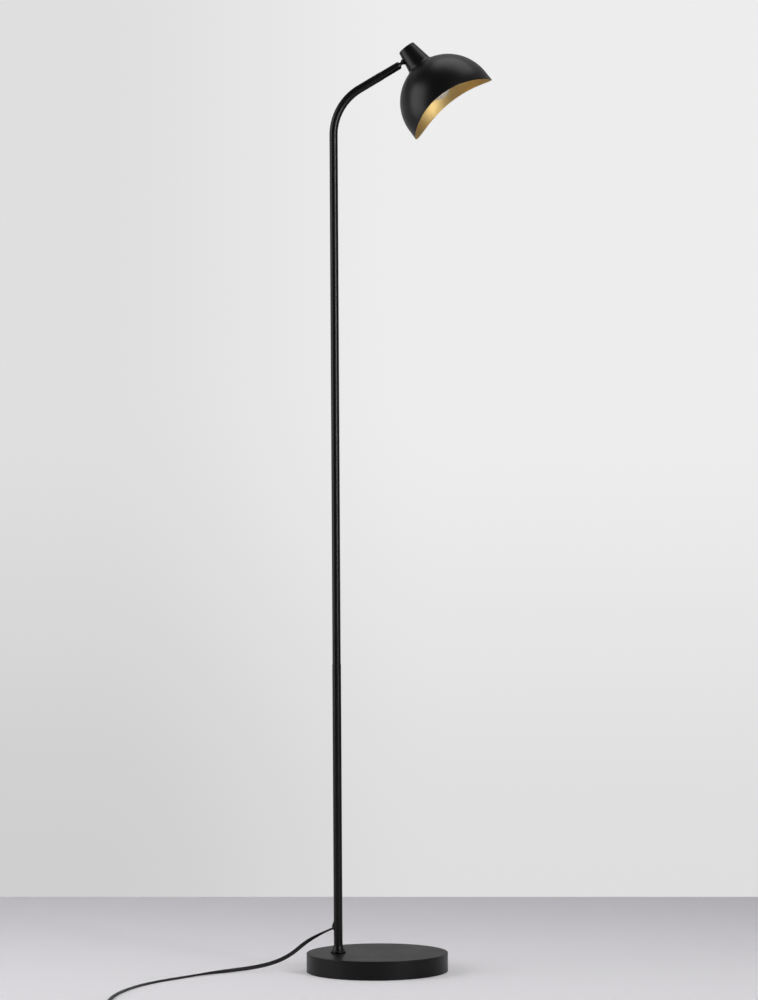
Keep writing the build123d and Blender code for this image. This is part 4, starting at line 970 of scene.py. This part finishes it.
class LAMP_OT_shade(bpy.types.Operator):
    """Draws the shade's two skins down to the saddle-cut rim, black outside and gold inside"""

    bl_idname = "lamp.shade"
    bl_label = "Shade"

    def skin(self, sizes, dome, turn, shares):
        """Radius and level of a dome and skirt at shares of the way from the hole to the cut rim."""
        rim_level = -sizes.dome_radius - sizes.skirt_height
        outer_rim = sizes.dome_radius + sizes.rim_flare
        saddle = (outer_rim**2 + sizes.saddle_rise**2) / (2 * sizes.saddle_rise)
        saddle_level = rim_level + sizes.saddle_rise - saddle
        equator = dome * math.pi / 2
        radius = np.full_like(turn, dome + sizes.rim_flare)
        settling_rounds = 6
        for _ in range(settling_rounds):
            level = saddle_level + np.sqrt(saddle**2 - (radius * np.cos(turn)) ** 2)
            above = level + sizes.dome_radius
            on_dome = dome * np.arccos(np.clip(above / dome, 0, 1))
            way = np.where(above > 0, on_dome, equator - above)
            on_skirt = dome - sizes.rim_flare * above / sizes.skirt_height
            radius = np.where(above > 0, dome * np.sin(on_dome / dome), on_skirt)
        first = dome * math.asin(sizes.shade_hole / dome)
        place = first + shares[:, None] * (way - first)
        below = np.clip(place - equator, 0, None)
        bent = np.clip(place, 0, equator) / dome
        radius = dome * np.sin(bent) + sizes.rim_flare * below / sizes.skirt_height
        level = dome * np.cos(bent) - sizes.dome_radius - below
        return radius, level

    def execute(self, context):
        sizes = context.scene.lamp_head
        head = head_frame(sizes)
        rim_dir = head.stem * math.cos(sizes.rim_turn) + head.side * math.sin(sizes.rim_turn)
        columns = 256
        turn = full_turn(columns)
        near_rim = (0.992, 0.997)
        shares = np.concatenate((np.linspace(0, 0.985, 70), near_rim))
        rim = np.ones(1)
        rows = ((0, shares), (0.25, rim), (0.75, rim), (1, shares[::-1]))
        skins = [
            self.skin(sizes, sizes.dome_radius - part * sizes.shade_wall, turn, places)
            for part, places in rows
        ]
        radius, level = (np.concatenate(values)[..., None] for values in zip(*skins))
        ring = turned(turn, rim_dir, np.cross(head.up, rim_dir))
        grid = head.top + level * head.up + radius * ring
        row = np.repeat(np.arange(len(grid)), columns)
        gold = (row > len(shares)) & (row < len(grid) - 1)
        paints = ["powder_coat", "gold_paint"]
        piece("shade_skins", grid, "head", paints, ["shade"], loop=True, marked=gold)
        return {"FINISHED"}


class LAMP_OT_ring(bpy.types.Operator):
    """Turns the ring that clamps the shade, with grip ribs round its side"""

    bl_idname = "lamp.ring"
    bl_label = "Shade ring"

    def execute(self, context):
        sizes = context.scene.lamp_head
        head = head_frame(sizes)
        inner_dome = sizes.dome_radius - sizes.shade_wall
        seat_radius = np.linspace(sizes.ring_bore, sizes.ring_radius, 8)
        seat = np.stack((seat_radius, sphere_level(seat_radius, inner_dome, sizes)), axis=1)
        bottom = seat[0][1] - sizes.ring_depth
        corners = [seat[-1], (sizes.ring_radius, bottom), (sizes.ring_bore, bottom), seat[0]]
        edges = [ring_edge, ring_bore_edge]
        outline = np.concatenate((seat[:-1], rounded(corners, edges, 5)[:-1]))
        columns = 384
        grid = revolve(head.top, head.up, head.side, outline, columns)
        wave = 0.5 - 0.5 * np.cos(full_turn(columns) * sizes.ring_ribs)
        ribs_from = 0.9 * sizes.ring_radius
        ribbed = np.clip((outline[:, 0] - ribs_from) / (sizes.ring_radius - ribs_from), 0, 1)
        axis_part = ((grid - head.top) @ head.up)[..., None] * head.up
        out = unit(grid - head.top - axis_part)
        grid = grid - (sizes.ring_rib * ribbed[:, None] * wave)[..., None] * out
        plastic = ["moulded_plastic"]
        piece("clamp_ring", grid, "head", plastic, ["shade_ring"], loop=True)
        return {"FINISHED"}


class LAMP_OT_bulb(bpy.types.Operator):
    """Blows the globe of the bulb and rolls the thread of its cap"""

    bl_idname = "lamp.bulb"
    bl_label = "Bulb"

    def globe(self, sizes, shrink):
        """Outline of the globe from its tip to the end of the neck."""
        radius = sizes.radius - shrink
        neck = sizes.neck_radius - shrink
        centre = sizes.tip_level + sizes.radius
        turn = np.linspace(0, sizes.shoulder, 48)
        ball = np.stack((radius * np.sin(turn), centre - radius * np.cos(turn)), axis=1)
        cone = np.array((math.cos(sizes.shoulder), math.sin(sizes.shoulder)))
        knee = ball[-1] + cone * (neck - ball[-1][0]) / cone[0]
        run = rounded([ball[-1], knee, (neck, sizes.neck_top)], [sizes.neck_fillet], 8)
        return np.concatenate((ball, run[1:]))

    def execute(self, context):
        sizes = context.scene.lamp_bulb
        head = head_frame(context.scene.lamp_head)
        outline = np.concatenate((self.globe(sizes, 0), self.globe(sizes, sizes.wall)[::-1]))
        grid = revolve(head.top, head.up, head.side, outline, columns=96)
        piece("globe", grid, "head", ["clear_glass"], ["bulb_glass"])

        rows = 120
        columns = 72
        level = np.linspace(sizes.cap_bottom, sizes.cap_top, rows)
        phase = level[:, None] / sizes.thread_pitch + np.arange(columns) / columns
        wave = 0.5 - 0.5 * np.cos(2 * math.pi * phase)
        start = np.clip((level - sizes.cap_bottom) / thread_start, 0, 1)
        end = np.clip((sizes.cap_top - level) / thread_end, 0, 1)
        radius = sizes.cap_radius - sizes.thread_depth * (start * end)[:, None] * wave
        straight = np.stack((np.ones(rows), level), axis=1)
        plain = revolve(head.top, head.up, head.side, straight, columns)
        middle = head.top + level[:, None, None] * head.up
        thread = middle + (plain - middle) * radius[..., None]
        bore = (middle + (plain - middle) * sizes.cap_inside)[[-1, 0]]
        grid = np.concatenate((thread, bore))
        piece("screw_cap", grid, "head", ["brass"], ["bulb_cap"], loop=True)
        return {"FINISHED"}


# Stage

class LAMP_OT_stage(bpy.types.Operator):
    """Sets up floor, wall, soft light and the camera of the photograph"""

    bl_idname = "lamp.stage"
    bl_label = "Stage"

    def sheet(self, name, corners, material):
        """A flat stage sheet."""
        mesh = bpy.data.meshes.new(name)
        mesh.from_pydata(corners, [], [(0, 1, 2, 3)])
        mesh.materials.append(material)
        thing = bpy.data.objects.new(name, mesh)
        bpy.context.scene.collection.objects.link(thing)

    def lamp(self, name, place, target, wide, high, brightness, spread=math.pi):
        """A soft box of a seen brightness that faces a target, with its light kept within a spread."""
        light = bpy.data.lights.new(name, "AREA")
        light.shape = "RECTANGLE"
        light.size = wide
        light.size_y = high
        light.spread = spread
        let_through = 1 - spread / 2 / math.tan(spread / 2)
        light.energy = brightness * wide * high * math.pi * let_through
        thing = bpy.data.objects.new(name, light)
        thing.location = place
        thing.rotation_euler = (Vector(target) - Vector(place)).to_track_quat("-Z", "Y").to_euler()
        bpy.context.scene.collection.objects.link(thing)

    def ramp(self, tree, source, start, end, low, high):
        """Smooth change of a value along one direction of the sheet."""
        return add(
            tree,
            "MapRange",
            "Result",
            settings={"interpolation_type": "SMOOTHSTEP"},
            Value=source,
            From_Min=start,
            From_Max=end,
            To_Min=low,
            To_Max=high,
        )

    def looked_at(self, tree):
        """One where the camera looks, straight or through glass, and nought for all other light."""
        straight = add(tree, "LightPath", "Is Camera Ray")
        through = straight.node.outputs["Is Transmission Ray"]
        return add(tree, "Math", "Value", straight, through, settings={"operation": "MAXIMUM"})

    def seen_glow(self, tree, looked, strength):
        """Emission that is only looked at, so that it lights nothing."""
        seen = add(tree, "Math", "Value", looked, strength, settings={"operation": "MULTIPLY"})
        return add(tree, "Emission", "Emission", Strength=seen)

    def wall_material(self, settings):
        """Pale wall, clear from behind, with painted light that brightens it to the right and to the top."""
        wall = plain_material("stage_wall", settings.wall_colour)
        tree = wall.node_tree
        dim = settings.wall_dim
        sideways = add(tree, "SeparateXYZ", "X", add(tree, "TexCoord", "Object"))
        height = sideways.node.outputs["Z"]
        bright = dim + settings.wall_across
        # Painted light: the glow that the camera sees rises to the right and to the top
        rightward = self.ramp(tree, sideways, start=-0.55, end=0.15, low=dim, high=bright)
        upward = self.ramp(tree, height, start=0.0, end=1.0, low=0.0, high=settings.wall_upward)
        looked = self.looked_at(tree)
        glow = self.seen_glow(tree, looked, add(tree, "Math", "Value", rightward, upward))
        lit = tree.nodes["Principled BSDF"].outputs["BSDF"]
        front = add(tree, "MixShader", "Shader", looked, lit, glow)
        behind = add(tree, "NewGeometry", "Backfacing")
        clear = add(tree, "BsdfTransparent", "BSDF")
        either = add(tree, "MixShader", "Shader", behind, front, clear)
        fill(tree, tree.nodes["Material Output"], Surface=either)
        return wall

    def floor_material(self, settings):
        """Pale floor that takes shadows, with painted light that brightens it to the front and far out."""
        floor = plain_material("stage_floor", settings.floor_colour)
        tree = floor.node_tree
        place = add(tree, "TexCoord", "Object")
        back = add(tree, "SeparateXYZ", "Y", place)
        away = add(tree, "VectorMath", "Value", place, settings={"operation": "LENGTH"})
        far = settings.floor_far
        # Painted light: the glow that the camera sees is brighter to the front and far out past the lamps
        lift = self.ramp(tree, back, start=1.2, end=-0.6, low=far, high=settings.floor_lift)
        outer = self.ramp(tree, away, start=2.2, end=3.4, low=0.0, high=settings.floor_outer)
        looked = self.looked_at(tree)
        glow = self.seen_glow(tree, looked, add(tree, "Math", "Value", lift, outer))
        lit = tree.nodes["Principled BSDF"].outputs["BSDF"]
        fill(tree, tree.nodes["Material Output"], Surface=add(tree, "AddShader", "Shader", lit, glow))
        return floor

    def studio(self, settings):
        """Plain dim light from all round, which the camera sees as a pale background."""
        world = bpy.data.worlds.new("studio")
        world.use_nodes = True
        tree = world.node_tree
        strength = spread_over(tree, self.looked_at(tree), settings.room_light, settings.room_seen)
        fill(tree, tree.nodes["Background"], Strength=strength, Color=(1.0, 1.0, 1.0, 1.0))
        return world

    def execute(self, context):
        settings = context.scene.lamp_stage
        floor = self.floor_material(settings)
        wall = self.wall_material(settings)
        reach = 12
        height = 6
        slant = reach * math.tan(settings.wall_turn)
        left = settings.wall_place + slant
        right = settings.wall_place - slant
        corners = [(-reach, -reach, 0), (reach, -reach, 0), (reach, reach, 0), (-reach, reach, 0)]
        self.sheet("floor", corners, floor)
        corners = [(-reach, left, 0), (reach, right, 0), (reach, right, height), (-reach, left, height)]
        self.sheet("wall", corners, wall)
        self.lamp(
            "key_light", place=(1.97, -2.26, 1.6), target=(0, 0, 1.5), wide=0.6, high=2.1,
            brightness=17.5, spread=settings.key_spread,
        )
        self.lamp(
            "side_light", place=(-2.5, -0.45, 1.55), target=(0, 0, 1.35), wide=2.0, high=2.7,
            brightness=2.3,
        )
        self.lamp(
            "top_light", place=(0.5, 0.3, 3.2), target=(0.4, 0, 0), wide=2.1, high=1.4,
            brightness=1.8,
        )
        context.scene.world = self.studio(settings)
        camera = bpy.data.cameras.new("camera")
        camera.sensor_width = 36.0
        camera.lens = settings.focal_pixels * camera.sensor_width / settings.picture_height
        camera.clip_end = 60.0
        thing = bpy.data.objects.new("camera", camera)
        thing.location = settings.camera_place
        thing.rotation_euler = (math.pi / 2, settings.camera_roll, 0)
        context.scene.collection.objects.link(thing)
        context.scene.camera = thing
        context.scene.view_settings.view_transform = "Standard"
        return {"FINISHED"}


class LAMP_PT_panel(bpy.types.Panel):
    """Lists the lamp's pieces in the order they are built"""

    bl_idname = "LAMP_PT_panel"
    bl_label = "Floor lamp"
    bl_space_type = "VIEW_3D"
    bl_region_type = "UI"
    bl_category = "Lamp"

    def draw(self, context):
        for operator in OPERATORS:
            self.layout.operator(operator.bl_idname)


GROUPS = {
    "lamp_stand": StandSizes,
    "lamp_head": HeadSizes,
    "lamp_bulb": BulbSizes,
    "lamp_cord": CordSizes,
    "lamp_stage": StageSettings,
    "lamp_palette": Palette,
}
OPERATORS = (
    LAMP_OT_materials,
    LAMP_OT_stage,
    LAMP_OT_supply_cord,
    LAMP_OT_spare_cord,
    LAMP_OT_spring,
    LAMP_OT_base,
    LAMP_OT_pole,
    LAMP_OT_joint,
    LAMP_OT_cup,
    LAMP_OT_shade,
    LAMP_OT_ring,
    LAMP_OT_bulb,
)


def register():
    """Registers the settings, the operators and the panel."""
    for name, group in GROUPS.items():
        bpy.utils.register_class(group)
        setattr(bpy.types.Scene, name, bpy.props.PointerProperty(type=group))
    for operator in OPERATORS:
        bpy.utils.register_class(operator)
    bpy.utils.register_class(LAMP_PT_panel)


def unregister():
    """Takes out what register put in."""
    bpy.utils.unregister_class(LAMP_PT_panel)
    for operator in reversed(OPERATORS):
        bpy.utils.unregister_class(operator)
    for name, group in GROUPS.items():
        delattr(bpy.types.Scene, name)
        bpy.utils.unregister_class(group)


def main():
    """Builds the whole scene."""
    register()
    for operator in OPERATORS:
        call = operator.bl_idname.removeprefix("lamp.")
        getattr(bpy.ops.lamp, call)()


if __name__ == "__main__":
    main()
